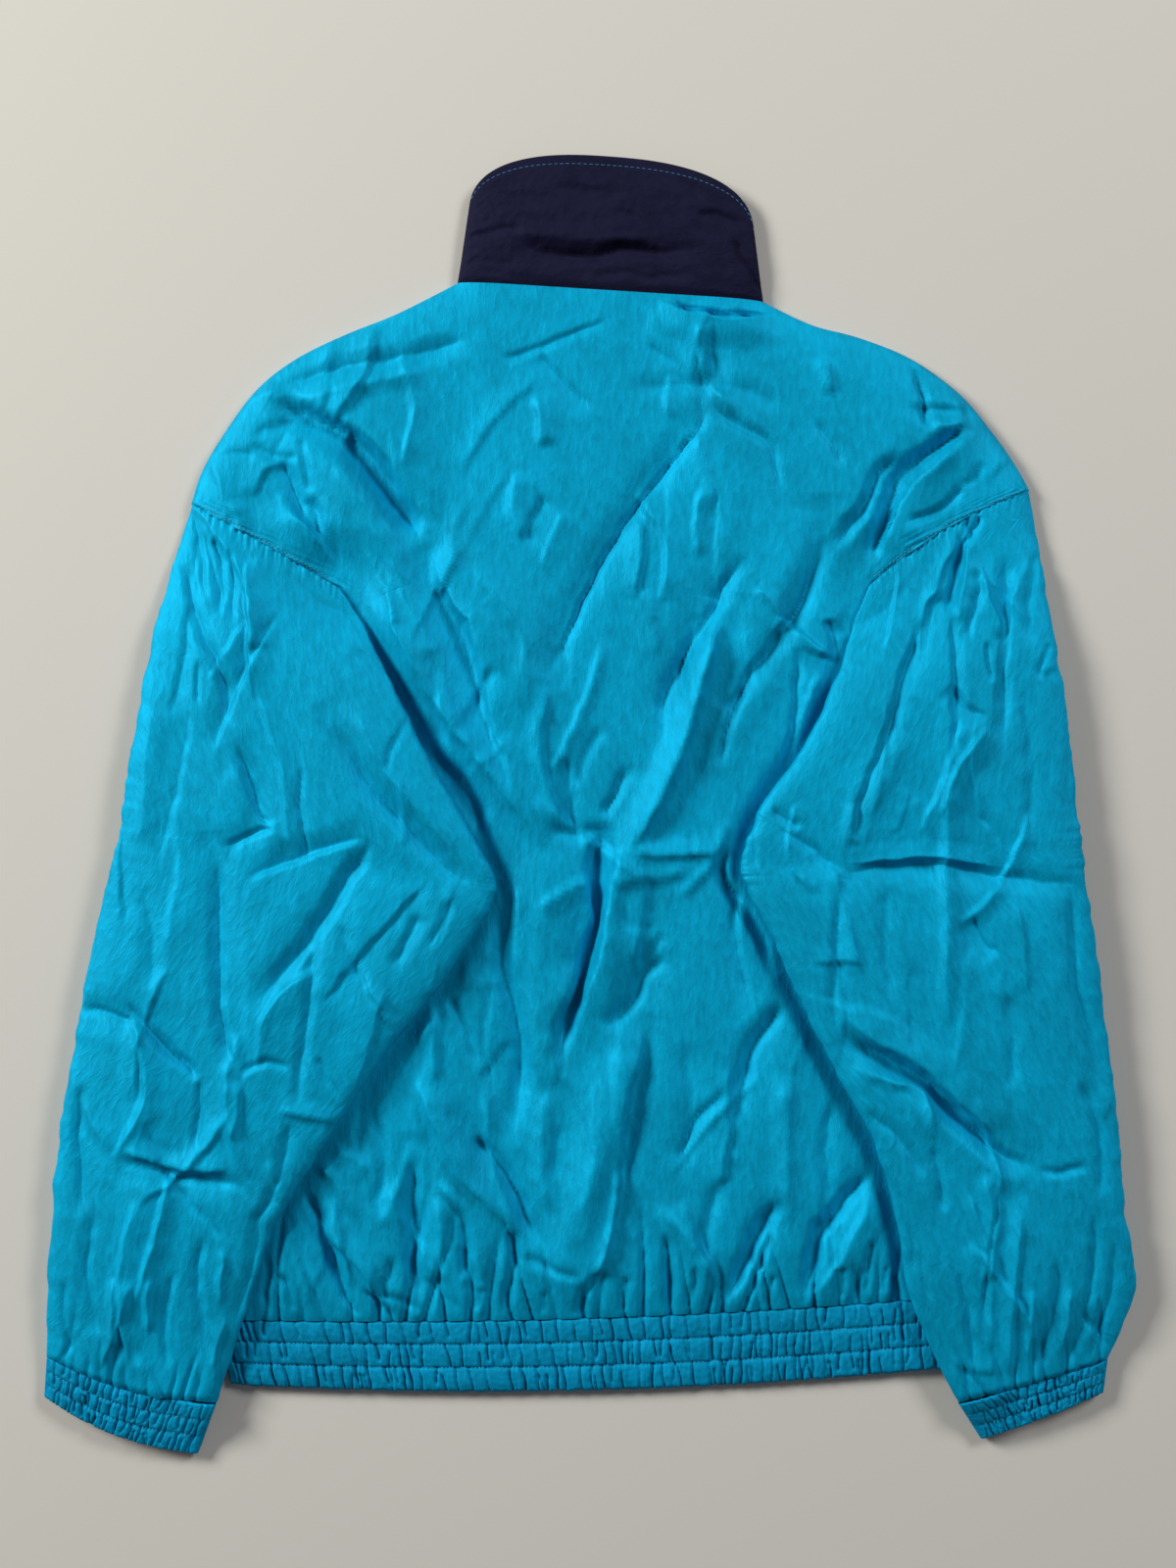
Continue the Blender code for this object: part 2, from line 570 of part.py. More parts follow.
def finish(name):
    values = FINISHES[name]
    material = bpy.data.materials.get(name) or bpy.data.materials.new(name)
    material.use_nodes = True
    shader = material.node_tree.nodes["Principled BSDF"]
    shader.inputs["Base Color"].default_value = values["colour"]
    shader.inputs["Roughness"].default_value = values["roughness"]
    shader.inputs["Metallic"].default_value = values["metallic"]
    return material


def add(name, data, look, home):
    obj = bpy.data.objects.new(name, data)
    home.objects.link(obj)
    data.materials.append(finish(look))
    return obj


def wall(name, outer, inner, look, home, tube=False):
    """A closed wall of cloth between two grids of points, of the same rows and columns.

    Each square is cut along its shorter diagonal, on the inside as on the outside.
    """
    outer, inner = np.asarray(outer), np.asarray(inner)
    rows, columns = outer.shape[:2]
    shift = rows * columns

    def at(r, c):
        return r * columns + c % columns

    triangles = []

    def strip(a, b, c, d):
        triangles.extend(((a, b, c), (a, c, d)))

    flat = outer.reshape(-1, 3)
    across = columns if tube else columns - 1
    for r in range(rows - 1):
        for c in range(across):
            a, b, d, e = at(r, c), at(r, c + 1), at(r + 1, c + 1), at(r + 1, c)
            if np.linalg.norm(flat[b] - flat[e]) < np.linalg.norm(flat[a] - flat[d]):
                a, b, d, e = b, d, e, a
            strip(a, b, d, e)
            strip(shift + a, shift + e, shift + d, shift + b)
        if not tube:
            for c, turn in ((0, 1), (columns - 1, -1)):
                edge = (at(r, c), at(r + 1, c), shift + at(r + 1, c), shift + at(r, c))
                strip(*edge[::turn])
    for c in range(across):
        for r, turn in ((0, 1), (rows - 1, -1)):
            edge = (at(r, c), shift + at(r, c), shift + at(r, c + 1), at(r, c + 1))
            strip(*edge[::turn])
    mesh = bpy.data.meshes.new(name)
    points = np.vstack([outer.reshape(-1, 3), inner.reshape(-1, 3)]) * MM
    mesh.from_pydata(points.tolist(), [], triangles)
    outward(mesh)
    mesh.shade_smooth()
    mesh.set_sharp_from_angle(angle=math.radians(50))
    return add(name, mesh, look, home)


def outward(mesh):
    shape = bmesh.new()
    shape.from_mesh(mesh)
    bmesh.ops.recalc_face_normals(shape, faces=shape.faces)
    shape.to_mesh(mesh)
    shape.free()


def flat_panel(name, outline, thickness, look, home):
    """A flat piece of cloth that rests on the surface."""
    curve = bpy.data.curves.new(name, "CURVE")
    curve.dimensions = "2D"
    curve.fill_mode = "BOTH"
    curve.extrude = thickness / 2 * MM
    spline = curve.splines.new("POLY")
    spline.points.add(len(outline) - 1)
    for point, (x, y) in zip(spline.points, outline):
        point.co = (x * MM, y * MM, 0, 1)
    spline.use_cyclic_u = True
    obj = add(name, curve, look, home)
    obj.location.z = thickness / 2 * MM
    return obj


def block(name, low, high, look, home, bevel=0.0):
    mesh = bpy.data.meshes.new(name)
    shape = bmesh.new()
    bmesh.ops.create_cube(shape, size=1)
    low, high = np.array(low) * MM, np.array(high) * MM
    bmesh.ops.scale(shape, vec=high - low, verts=shape.verts)
    shape.to_mesh(mesh)
    shape.free()
    obj = add(name, mesh, look, home)
    obj.location = (low + high) / 2
    if bevel:
        rounding = obj.modifiers.new("rounding", "BEVEL")
        rounding.width, rounding.segments = bevel * MM, 2
    return obj


def helper(obj):
    obj.hide_render = True
    obj.display_type = "WIRE"
    return obj


def combine(obj, others, operation):
    for other in others:
        step = obj.modifiers.new(f"{operation.lower()} {other.name}", "BOOLEAN")
        step.operation, step.object = operation, helper(other)


# The pieces


def make_back(home):
    edges = body_edges()
    s = even(BODY_COLUMNS, 0.7)
    rows = []
    for i, edge in enumerate(edges):
        sag = WAIST_SAG * ease(len(edges) - 6, len(edges) - 1, i)
        rows.append(seam_line(edge, sag, s))
    place = np.array(rows)
    outer = np.dstack([place, back_height(place)])
    inner = outer - np.array([0, 0, SHELL_WALL])
    return wall("back", outer, inner, "shell", home)


def front_outline(side):
    """The front's outline: neck, zip edge, waist seam, side, armhole and shoulder."""
    column = 0 if side == "left" else 2
    inward = SEAM if side == "left" else -SEAM
    edge = zip_edge(side)
    neck = collar_place(COLLAR_BASE, neckline(side), False, gap=SEAM)
    waist = seam_line(SIDE[-1], WAIST_SAG, np.linspace(0, 1, 25))
    waist = waist[waist[:, 0] < edge - 1] if side == "left" else waist[waist[:, 0] > edge + 1]
    waist = waist[1:][::-1] if side == "left" else waist[:-1]
    at_zip = [(edge, neck[-1][1]), (edge, waist[0][1])]
    sides = smooth(SIDE, np.linspace(0, len(SIDE) - 1, 13))[::-1, column : column + 2]
    shoulder = smooth(SHOULDER, np.linspace(0, len(SHOULDER) - 1, 12))[::-1, column : column + 2]
    seams = np.vstack([sides, shoulder[:-1]]) + np.array([inward, 0])
    seams[len(sides), 0] += UNDERARM_TUCK * inward  # clear of the fold that the sleeve starts with
    return [*map(tuple, neck[:-1]), *at_zip, *map(tuple, waist), *map(tuple, seams)]


def band_outline(side):
    """The outline of the waistband's front stretch on one side."""
    edge = zip_edge(side)
    lines = []
    for station, sag, down in ((SIDE[-1], WAIST_SAG, SEAM), (HEM, HEM_SAG, 0.0)):
        line = seam_line(station, sag, np.linspace(0, 1, 25)) - np.array([0, down])
        kept = line[line[:, 0] < edge - 1] if side == "left" else line[line[:, 0] > edge + 1][::-1]
        kept[0, 0] += SEAM if side == "left" else -SEAM
        lines.append([*map(tuple, kept), (edge, kept[-1][1])])
    return lines[0] + lines[1][::-1]


def make_fronts(home):
    for side in ("left", "right"):
        flat_panel(f"front_{side}", front_outline(side), FRONT_WALL, "shell", home)
        flat_panel(f"waistband_front_{side}", band_outline(side), FRONT_WALL, "shell", home)


def make_waistband(home):
    """The back of the waistband, its gathers raised in the outer wall over a plain inner one."""
    s = np.linspace(0, 1, 2 * BAND_WAVES + 1)
    start = seam_line(SIDE[-1], WAIST_SAG, s) - np.array([0, SEAM])
    end = seam_line(HEM, HEM_SAG, s)
    from_end = np.minimum(s, 1 - s) * (HEM.right_x - HEM.left_x)
    rim = FRONT_WALL + SEAM + BAND_WALL
    plain = blend(rim, BAND_TOP, ease(0, END_FADE, from_end))
    outer, inner = [], []
    for v in np.linspace(0, 1, 2 * GATHER_ROWS + 1):
        place = blend(start, end, v)
        raised = plain + gather(BAND_WAVES, GATHER_ROWS, v, BAND_GATHER, ease(0, END_FADE, from_end))
        outer.append(np.column_stack([place, raised]))
        inner.append(np.column_stack([place, plain - BAND_WALL]))
    return wall("waistband_back", outer, inner, "shell", home)


def make_sleeve(sleeve, home):
    places = np.linspace(0, len(sleeve.sections) - 1, SLEEVE_RINGS)
    rings = [sleeve_ring(sleeve, f) for f in places]
    outer, inner = (np.array(side) for side in zip(*rings))
    chord = outer[0, SLEEVE_ACROSS["upper"], :2] - outer[0, 0, :2]
    down = np.array([chord[1], -chord[0]]) / np.linalg.norm(chord)
    down *= -np.sign(down[1])
    for grid in (outer, inner):
        grid[0, :, :2] += down * SEAM
    return wall(f"sleeve_{sleeve.side}", outer, inner, "shell", home, tube=True)


def make_cuff(sleeve, home):
    rings = [cuff_ring(sleeve, v) for v in np.linspace(0, 1, 2 * GATHER_ROWS + 1)]
    outer, inner = (np.array(side) for side in zip(*rings))
    return wall(f"cuff_{sleeve.side}", outer, inner, "shell", home, tube=True)


def make_collar(home):
    rings = [collar_ring(v) for v in np.linspace(0, 1, COLLAR_ROWS)]
    outer, inner = (np.array(side) for side in zip(*rings))
    return wall("collar", outer, inner, "navy", home)


def make_tape(side, home):
    """One tape of the zip, on the inside of the front's edge, parting above the slider."""
    turn = -1 if side == "left" else 1
    flat, rising = np.linspace(TAPE_LOW, TAPE_BEND[0], 9), np.linspace(TAPE_BEND[1], TAPE_HIGH, 12)
    y = np.concatenate([flat, rising])
    part = TAPE_HALF_GAP + TAPE_PARTING * ease(*PARTING_ALONG, y)
    near, far = ZIP_X + turn * part, np.full_like(y, ZIP_X + turn * TAPE_WIDTH)
    place = np.stack([np.column_stack([x, y]) for x in (near, far)], axis=1)
    middle = place.copy()
    middle[..., 0] = ZIP_X
    under = FRONT_WALL + SEAM + collar_lift(middle, lead=TAPE_LEAD)
    outer = np.dstack([place, under + TAPE_WALL])
    inner = np.dstack([place, under])
    return wall(f"zip_tape_{side}", outer, inner, "tape", home)


SLIDER = {
    "length": 13.0,
    "half_width": 4.6,
    "plate": 0.9,
    "bail_half_width": 1.0,
    "bail_length": 10.8,
    "bail_bar": 0.9,
    "bail_post": 1.6,
    "tunnel": 2.1,
    "neck_half_width": 1.2,
    "neck_length": 3.0,
    "neck_inset": 0.1,
    "overlap": 0.2,  # how far joined pieces run into each other
    "post_inset": 0.01,
}
PULL = {
    "length": 30.0,
    "thickness": 1.2,
    "half_width": 3.7,
    "window": 7.2,
    "arm": 1.3,
    "pin": 0.65,
    "pin_inset": 0.01,
    "pin_sides": 16,
}
BOX = {"half_width": 5.6, "low": -359.0, "high": -348.0, "bottom": 0.3, "top": 3.9, "round": 0.5}
CUT_REACH = 5.0  # how far a cutter runs past what it cuts
PULL_LOWEST = 0.05  # the tab's end is just clear of the surface


def make_slider(home, cutters):
    """Two plates round the tapes, joined between them, and a bail beneath that holds the tab."""
    tape = FRONT_WALL + SEAM + SLIDER_LIFT
    half, width = SLIDER["length"] / 2, SLIDER["half_width"]
    lower_top, upper_low = tape - SEAM, tape + TAPE_WALL + SEAM
    lower_low = lower_top - SLIDER["plate"]
    slider = block(
        "zip_slider",
        (ZIP_X - width, SLIDER_Y - half, lower_low),
        (ZIP_X + width, SLIDER_Y + half, lower_top),
        "metal",
        home,
    )
    upper = block(
        "upper plate",
        (ZIP_X - width, SLIDER_Y - half, upper_low),
        (ZIP_X + width, SLIDER_Y + half, upper_low + SLIDER["plate"]),
        "metal",
        cutters,
    )
    overlap, neck_width = SLIDER["overlap"], SLIDER["neck_half_width"]
    neck = block(
        "neck",
        (ZIP_X - neck_width, SLIDER_Y + half - SLIDER["neck_length"], lower_top - overlap),
        (ZIP_X + neck_width, SLIDER_Y + half - SLIDER["neck_inset"], upper_low + overlap),
        "metal",
        cutters,
    )
    reach, side = SLIDER["bail_length"] / 2, SLIDER["bail_half_width"]
    bar_top = lower_low - SLIDER["tunnel"]
    bar = block(
        "bail bar",
        (ZIP_X - side, SLIDER_Y - reach, bar_top - SLIDER["bail_bar"]),
        (ZIP_X + side, SLIDER_Y + reach, bar_top),
        "metal",
        cutters,
    )
    posts, inset = [], SLIDER["post_inset"]
    for turn in (-1, 1):
        ends = sorted((SLIDER_Y + turn * reach, SLIDER_Y + turn * (reach - SLIDER["bail_post"])))
        posts.append(
            block(
                f"bail post {turn}",
                (ZIP_X - side + inset, ends[0] + inset, bar_top - overlap),
                (ZIP_X + side - inset, ends[1] - inset, lower_low + overlap),
                "metal",
                cutters,
            )
        )
    combine(slider, [upper, neck, bar, *posts], "UNION")
    return lower_low - SLIDER["tunnel"] / 2


def make_pull(height, home, cutters):
    """The tab: a plate with a window, whose round end bar hangs in the slider's bail."""
    length, half, thick = PULL["length"], PULL["half_width"], PULL["thickness"] / 2
    pull = block("zip_pull", (-half, -length, -thick), (half, 0, thick), "metal", home)
    mesh = pull.data
    mesh.transform(pull.matrix_basis)
    pull.matrix_basis.identity()
    window = block(
        "window",
        (-half + PULL["arm"], -PULL["window"], -CUT_REACH),
        (half - PULL["arm"], CUT_REACH, CUT_REACH),
        "metal",
        cutters,
    )
    pin_mesh = bpy.data.meshes.new("pin")
    shape = bmesh.new()
    bmesh.ops.create_cone(
        shape,
        cap_ends=True,
        segments=PULL["pin_sides"],
        radius1=PULL["pin"] * MM,
        radius2=PULL["pin"] * MM,
        depth=2 * (half - PULL["pin_inset"]) * MM,
    )
    shape.to_mesh(pin_mesh)
    shape.free()
    pin = add("pin", pin_mesh, "metal", cutters)
    pin.rotation_euler.y = math.pi / 2
    window.parent = pin_home = bpy.data.objects.new("pull axis", None)
    cutters.objects.link(pin_home)
    pin.parent = pin_home
    combine(pull, [window], "DIFFERENCE")
    combine(pull, [pin], "UNION")
    tilt = math.asin((height - thick - PULL_LOWEST) / length)
    for obj in (pull, pin_home):
        obj.location = (ZIP_X * MM, SLIDER_Y * MM, height * MM)
        obj.rotation_euler.x = tilt
    return pull


def make_box(home):
    """The box at the foot of the zip, between the two ends of the waistband."""
    low = (ZIP_X - BOX["half_width"], BOX["low"], BOX["bottom"])
    high = (ZIP_X + BOX["half_width"], BOX["high"], BOX["top"])
    return block("zip_box", low, high, "metal", home, bevel=BOX["round"])


def main():
    clear_scene()
    home, cutters = collection("track jacket"), collection("cutters")
    make_back(home)
    make_fronts(home)
    make_waistband(home)
    for sleeve in (LEFT, RIGHT):
        make_sleeve(sleeve, home)
        make_cuff(sleeve, home)
    make_collar(home)
    for side in ("left", "right"):
        make_tape(side, home)
    make_pull(make_slider(home, cutters), home, cutters)
    make_box(home)


main()
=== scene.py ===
import math

import bmesh
import bpy
import numpy as np
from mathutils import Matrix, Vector


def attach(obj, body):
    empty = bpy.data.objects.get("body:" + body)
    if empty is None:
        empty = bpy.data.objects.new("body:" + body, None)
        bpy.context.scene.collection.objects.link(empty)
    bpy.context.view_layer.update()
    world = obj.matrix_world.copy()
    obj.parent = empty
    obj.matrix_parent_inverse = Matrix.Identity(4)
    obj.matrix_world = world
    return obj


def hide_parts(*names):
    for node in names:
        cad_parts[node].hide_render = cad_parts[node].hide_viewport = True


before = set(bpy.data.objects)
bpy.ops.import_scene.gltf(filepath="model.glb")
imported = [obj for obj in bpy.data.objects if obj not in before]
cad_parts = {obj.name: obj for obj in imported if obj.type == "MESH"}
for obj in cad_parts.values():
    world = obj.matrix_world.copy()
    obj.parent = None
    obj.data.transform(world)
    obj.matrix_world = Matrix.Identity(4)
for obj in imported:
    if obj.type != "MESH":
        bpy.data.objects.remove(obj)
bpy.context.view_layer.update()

# Tables and sizes are in millimetres, with y up the back and the wearer's left at -x. Meshes are in metres.
mm = 0.001

print("stage: the jacket's outline and heights")

outline = {
    # left x, left y, right x, right y, from the neck down
    "shoulder": [
        (-80.4, 320.4, 108, 308.7),
        (-118, 301.4, 138, 294.6),
        (-150, 288.6, 166, 287.2),
        (-180, 273.6, 198, 274.2),
        (-204, 254.4, 228, 252.6),
        (-225, 225.6, 248.4, 228.6),
        (-237, 204.6, 261.6, 210),
        (-243.6, 184.8, 271.2, 193.2),
    ],
    "armholeFront": (-152.4, 132.6, 172.2, 134.4),  # where each sleeve folds over its seam
    "side": [
        (-225, 112, 243, 112),
        (-250, 20, 262, 20),
        (-258, -100, 270, -100),
        (-250, -220, 258, -220),
        (-229, -315.9, 226, -301.5),
    ],
    "hem": (-219.0, -355.8, 225.0, -345.0),
    "waistSag": -6.5,
    "hemSag": -8.8,
    "zipX": 6.0,
    "zipGap": 12.0,
}

lie = {
    "frontWall": 2.0,
    "rim": 3.8,  # the back where it rolls under to a side seam
    "rollWidth": 30.0,
    "lapped": 8.0,  # the back where a sleeve lies on it
    "lappedSlope": 0.35,
    "bareFade": (7.0, 32.0),
    "closeFade": (-1.0, 12.0),  # the same where the creases are added
    "pinchFade": (9.0, 42.0),
    "backHigh": 13.0,
    # the height at each seam, and how steeply it falls to it, plain and creased
    "neckHigh": (11.5, 1.0, 0.5),
    "waistHigh": (7.5, 0.6, 0.4),
    "seamFade": 38.0,
    "sleeveRest": 8.3,
    "restFade": (14.0, 44.0),
    "sleeveLeast": 4.5,
    "sliderLift": 3.5,
    "liftAcross": (16.0, 45.0),
    "liftAlong": (256.0, 286.0),
}

# a sleeve's height near its outer and its inner edge at each section
sleeveHeights = [
    (5, 13), (13, 22), (18, 27), (20, 30), (21, 31), (22, 30), (22, 28), (22, 30),
    (22, 32), (22, 31), (21, 30), (21, 28), (20, 26), (18, 22), (12, 16),
]

# A section is outer x, outer y, inner x and inner y, from the armhole to the cuff.
leftSleeve = {
    "side": "left",
    "sections": [
        (-243.6, 184.8, -152.4, 132.6),
        (-252, 156.6, -140, 114),
        (-262.2, 120.6, -121.5, 78.6),
        (-271.2, 78.6, -102, 38),
        (-279, 36.6, -79.5, -2.4),
        (-284, 5, -61, -34),
        (-287, -18, -55.8, -50.4),
        (-292, -38, -62, -67),
        (-299, -68, -90, -110.4),
        (-307.2, -107.4, -117, -143.4),
        (-313.8, -143.4, -141, -178),
        (-322.2, -191.4, -169.5, -220),
        (-327, -233.4, -192, -259),
        (-331, -290, -206, -300),
        (-332.4, -338.4, -226.8, -365.4),
    ],
    "headBow": 0.5,
    "cuffBow": -6.5,
    "cuffEnd": ((-334.2, -363.0), (-239.4, -398.4)),
    "seed": 11,
    # a broad fold is its three points, its half width and its height
    "folds": [
        (-229, -16, -220, -90, -203, -162, 11, -5),
        (-130, -22, -165, -76, -206, -126, 11, -4),
        (-212, 40, -199, -4, -222, -28, 9, -4),
        (-162, 62, -123, 2, -68, -48, 9, -4),
        (-314, -124, -292, -127, -268, -136, 9, -4),
        (-284, -112, -246, -156, -238, -212, 10, -4),
        (-286, -218, -246, -226, -200, -233, 10, -4),
        (-308, -172, -310, -208, -306, -250, 9, -3),
        (-270, -180, -272, -260, -280, -330, 12, 4),
    ],
    # a crease is its line, its width to the left and right of that line's way, and its height
    "creases": [
        ((-243, 182, -238, 158, -233, 124), 5, 6, -2.4),
        ((-236, 169, -227, 139, -224, 115), 4, 5, -1.8),
        ((-229, 164, -224, 148, -221, 118), 5, 5, -2.2),
        ((-220, 157, -216, 133, -217, 109), 4, 5, -1.6),
        ((-207, 151, -206, 135, -204, 108, -204, 85, -202, 61), 16, 5, 2.4),
        ((-252, 151, -245, 139, -240, 118, -232, 97, -224, 82, -220, 67, -216, 43), 8, 5, -3),
        ((-236, 88, -238, 61), 3, 3, -1.2),
        ((-213, 38, -205, 13, -199, -5, -190, -13), 6, 5, -2.4),
        ((-190, -13, -206, -19, -222, -26), 5, 4, -1.8),
        ((-154, 50, -134, 13, -115, -7, -89, -35, -71, -50), 9, 9, -3.2),
        ((-144, 65, -125, 27, -102, -3, -74, -35), 14, 8, 2.2),
        ((-108, 55, -118, 35, -122, 19), 4, 4, -1.6),
        ((-173, 25, -174, -5, -169, -35), 4, 4, -1.6),
        ((-130, -17, -138, -35, -146, -44, -156, -62, -165, -77, -185, -102, -204, -125), 7, 9, -3),
        ((-224, -26, -224, -77, -222, -134, -211, -164), 6, 8, -2.6),
        ((-211, -164, -194, -155, -180, -161), 5, 4, -1.6),
        ((-165, -80, -167, -101, -169, -122, -173, -155, -178, -188), 6, 6, -2),
        ((-165, -152, -157, -167, -149, -179), 4, 4, -1.6),
        ((-150, -71, -143, -95, -132, -113), 6, 5, -1.6),
        ((-102, -65, -109, -83, -120, -101), 8, 6, -2.2),
        ((-81, -56, -89, -74, -96, -86), 5, 6, -2),
        ((-312, -125, -293, -126, -273, -134), 4, 5, -2),
        ((-282, -118, -263, -141, -245, -157, -236, -166), 6, 6, -3.4),
        ((-236, -166, -236, -188, -238, -210), 4, 5, -1.8),
        ((-284, -214, -266, -221, -247, -226, -225, -229, -204, -233), 7, 5, -1.6),
        ((-282, -208, -252, -218, -216, -221), 9, 5, 2.4),
        ((-308, -171, -310, -203, -307, -249), 5, 6, -2.4),
        ((-318, -155, -310, -179, -288, -213), 9, 7, 2),
        ((-210, -134, -218, -167, -216, -197, -203, -227), 9, 7, 2.2),
        ((-270, -47, -264, -83, -266, -113), 10, 10, -1.4),
        ((-264, 61, -270, 13, -272, -29), 12, 10, 1.6),
        ((-180, -191, -187, -227, -203, -257), 7, 7, -2.4),
        ((-198, -245, -203, -281, -216, -317), 6, 9, -2.2),
        ((-234, -262, -237, -297, -228, -340), 5, 9, -2),
        ((-250, -282, -258, -313, -256, -346), 5, 5, -1.6),
        ((-272, -238, -283, -287, -277, -350), 10, 5, 2),
        ((-300, -243, -305, -289, -296, -325), 5, 9, -2),
        ((-318, -289, -321, -309, -315, -336), 4, 5, -1.5),
        ((-221, -269, -224, -305), 5, 5, 1.8),
        ((-266, -287, -268, -323), 5, 5, 1.8),
        ((-289, -287, -289, -333), 5, 5, 1.8),
    ],
}

rightSleeve = {
    "side": "right",
    "sections": [
        (271.2, 193.2, 172.2, 134.4),
        (278, 156, 162, 108.6),
        (283.8, 116, 149, 72.6),
        (290, 76, 129.5, 33.6),
        (295.2, 36.6, 108, 3.6),
        (299, -5, 96.5, -22),
        (302, -25, 93, -38.4),
        (304, -42, 97, -52),
        (309, -77, 114, -83.4),
        (315, -118, 129, -119),
        (321, -165, 152, -165),
        (325, -203, 174, -206),
        (328.2, -247, 188, -256),
        (334.8, -295, 198, -306),
        (319.2, -340.2, 226.2, -365.4),
    ],
    "headBow": 5.5,
    "cuffBow": -1.0,
    "cuffEnd": ((316.8, -360.6), (241.2, -389.4)),
    "seed": 23,
    "folds": [
        (228, 172, 206, 114, 192, 68, 9, -5),
        (221, 74, 218, -30, 218, -132, 9, 4),
        (150, -140, 204, -172, 276, -224, 11, -7),
        (160, -160, 206, -188, 262, -232, 10, 4),
        (150, -42, 216, -40, 296, -50, 9, -4),
        (154, -44, 170, 6, 192, 44, 10, 4),
        (250, 170, 252, 120, 256, 60, 9, -4),
        (294, -50, 299, -114, 318, -182, 9, -3),
        (262, -238, 268, -284, 276, -328, 12, 4),
    ],
    "creases": [
        ((229, 169, 223, 137, 219, 119), 8, 5, -3.2),
        ((234, 169, 231, 139, 225, 109), 10, 5, 2.2),
        ((242, 178, 235, 166, 230, 155), 4, 4, -2),
        ((230, 173, 236, 164), 3, 3, -1.4),
        ((256, 154, 256, 131, 257, 103, 253, 64, 252, 25), 6, 9, -2.8),
        ((269, 151, 260, 126, 257, 97, 255, 68), 8, 5, 2.2),
        ((276, 157, 269, 127, 270, 97), 5, 5, -1.8),
        ((220, 115, 223, 91, 223, 61, 221, 13), 8, 5, -2.2),
        ((210, 130, 200, 100, 193, 82, 181, 42, 170, 16, 162, -11, 154, -43), 10, 5, -2.6),
        ((237, 143, 239, 130, 233, 111, 229, 97), 4, 5, -1.6),
        ((281, 100, 274, 76), 4, 4, -1.8),
        ((242, 100, 245, 74), 4, 4, -1.6),
        ((216, 137, 204, 117, 202, 91), 5, 6, 1.8),
        ((220, 13, 218, -31, 218, -83, 218, -134), 12, 7, 2),
        ((152, -42, 184, -38, 216, -37, 248, -44, 294, -49, 304, -59), 7, 9, -1.5),
        ((156, -35, 186, -31, 216, -31, 252, -38), 10, 6, 1.8),
        ((111, -3, 120, -9, 129, -16), 7, 5, -2.6),
        ((114, -14, 138, -28, 152, -42), 6, 6, -1.6),
        ((153, -43, 151, -71, 150, -98, 148, -122, 155, -151), 8, 6, -2.4),
        ((157, -136, 169, -147, 184, -156, 207, -169, 228, -192, 253, -214, 273, -221), 7, 11, -5),
        ((150, -125, 174, -142, 201, -155, 225, -178, 251, -202), 18, 7, 3),
        ((158, -158, 183, -167, 203, -174, 209, -205), 8, 7, 2.8),
        ((209, -205, 213, -227, 217, -248), 5, 6, -2),
        ((294, -49, 296, -83, 298, -116, 319, -180), 7, 6, -2.4),
        ((273, -221, 288, -224, 306, -218), 5, 5, -1.8),
        ((168, -185, 189, -203, 204, -227), 8, 7, -2.6),
        ((183, -227, 195, -257, 198, -287), 7, 7, -2.4),
        ((252, -113, 258, -143, 256, -173), 9, 7, -1.8),
        ((300, -167, 311, -203, 312, -239), 8, 6, -2.2),
        ((240, -221, 246, -257, 242, -293), 8, 7, 2.4),
        ((264, 73, 270, 25, 268, -23), 9, 8, -1.6),
        ((294, 49, 292, 13, 299, -23), 8, 6, -1.6),
        ((183, -47, 180, -83, 186, -119), 10, 8, -1.4),
        ((201, -267, 207, -303, 224, -350), 5, 10, -2.2),
        ((226, -283, 232, -313, 236, -351), 5, 5, -1.8),
        ((262, -243, 256, -305, 256, -350), 5, 11, 2.2),
        ((286, -277, 283, -309, 271, -348), 8, 5, -2),
        ((308, -249, 306, -295, 292, -346), 6, 5, -2),
        ((322, -265, 318, -301, 306, -340), 5, 5, -1.6),
        ((245, -287, 245, -335), 5, 5, 1.8),
        ((270, -293, 268, -338), 5, 5, 1.8),
        ((294, -293, 289, -335), 5, 5, 1.8),
    ],
}

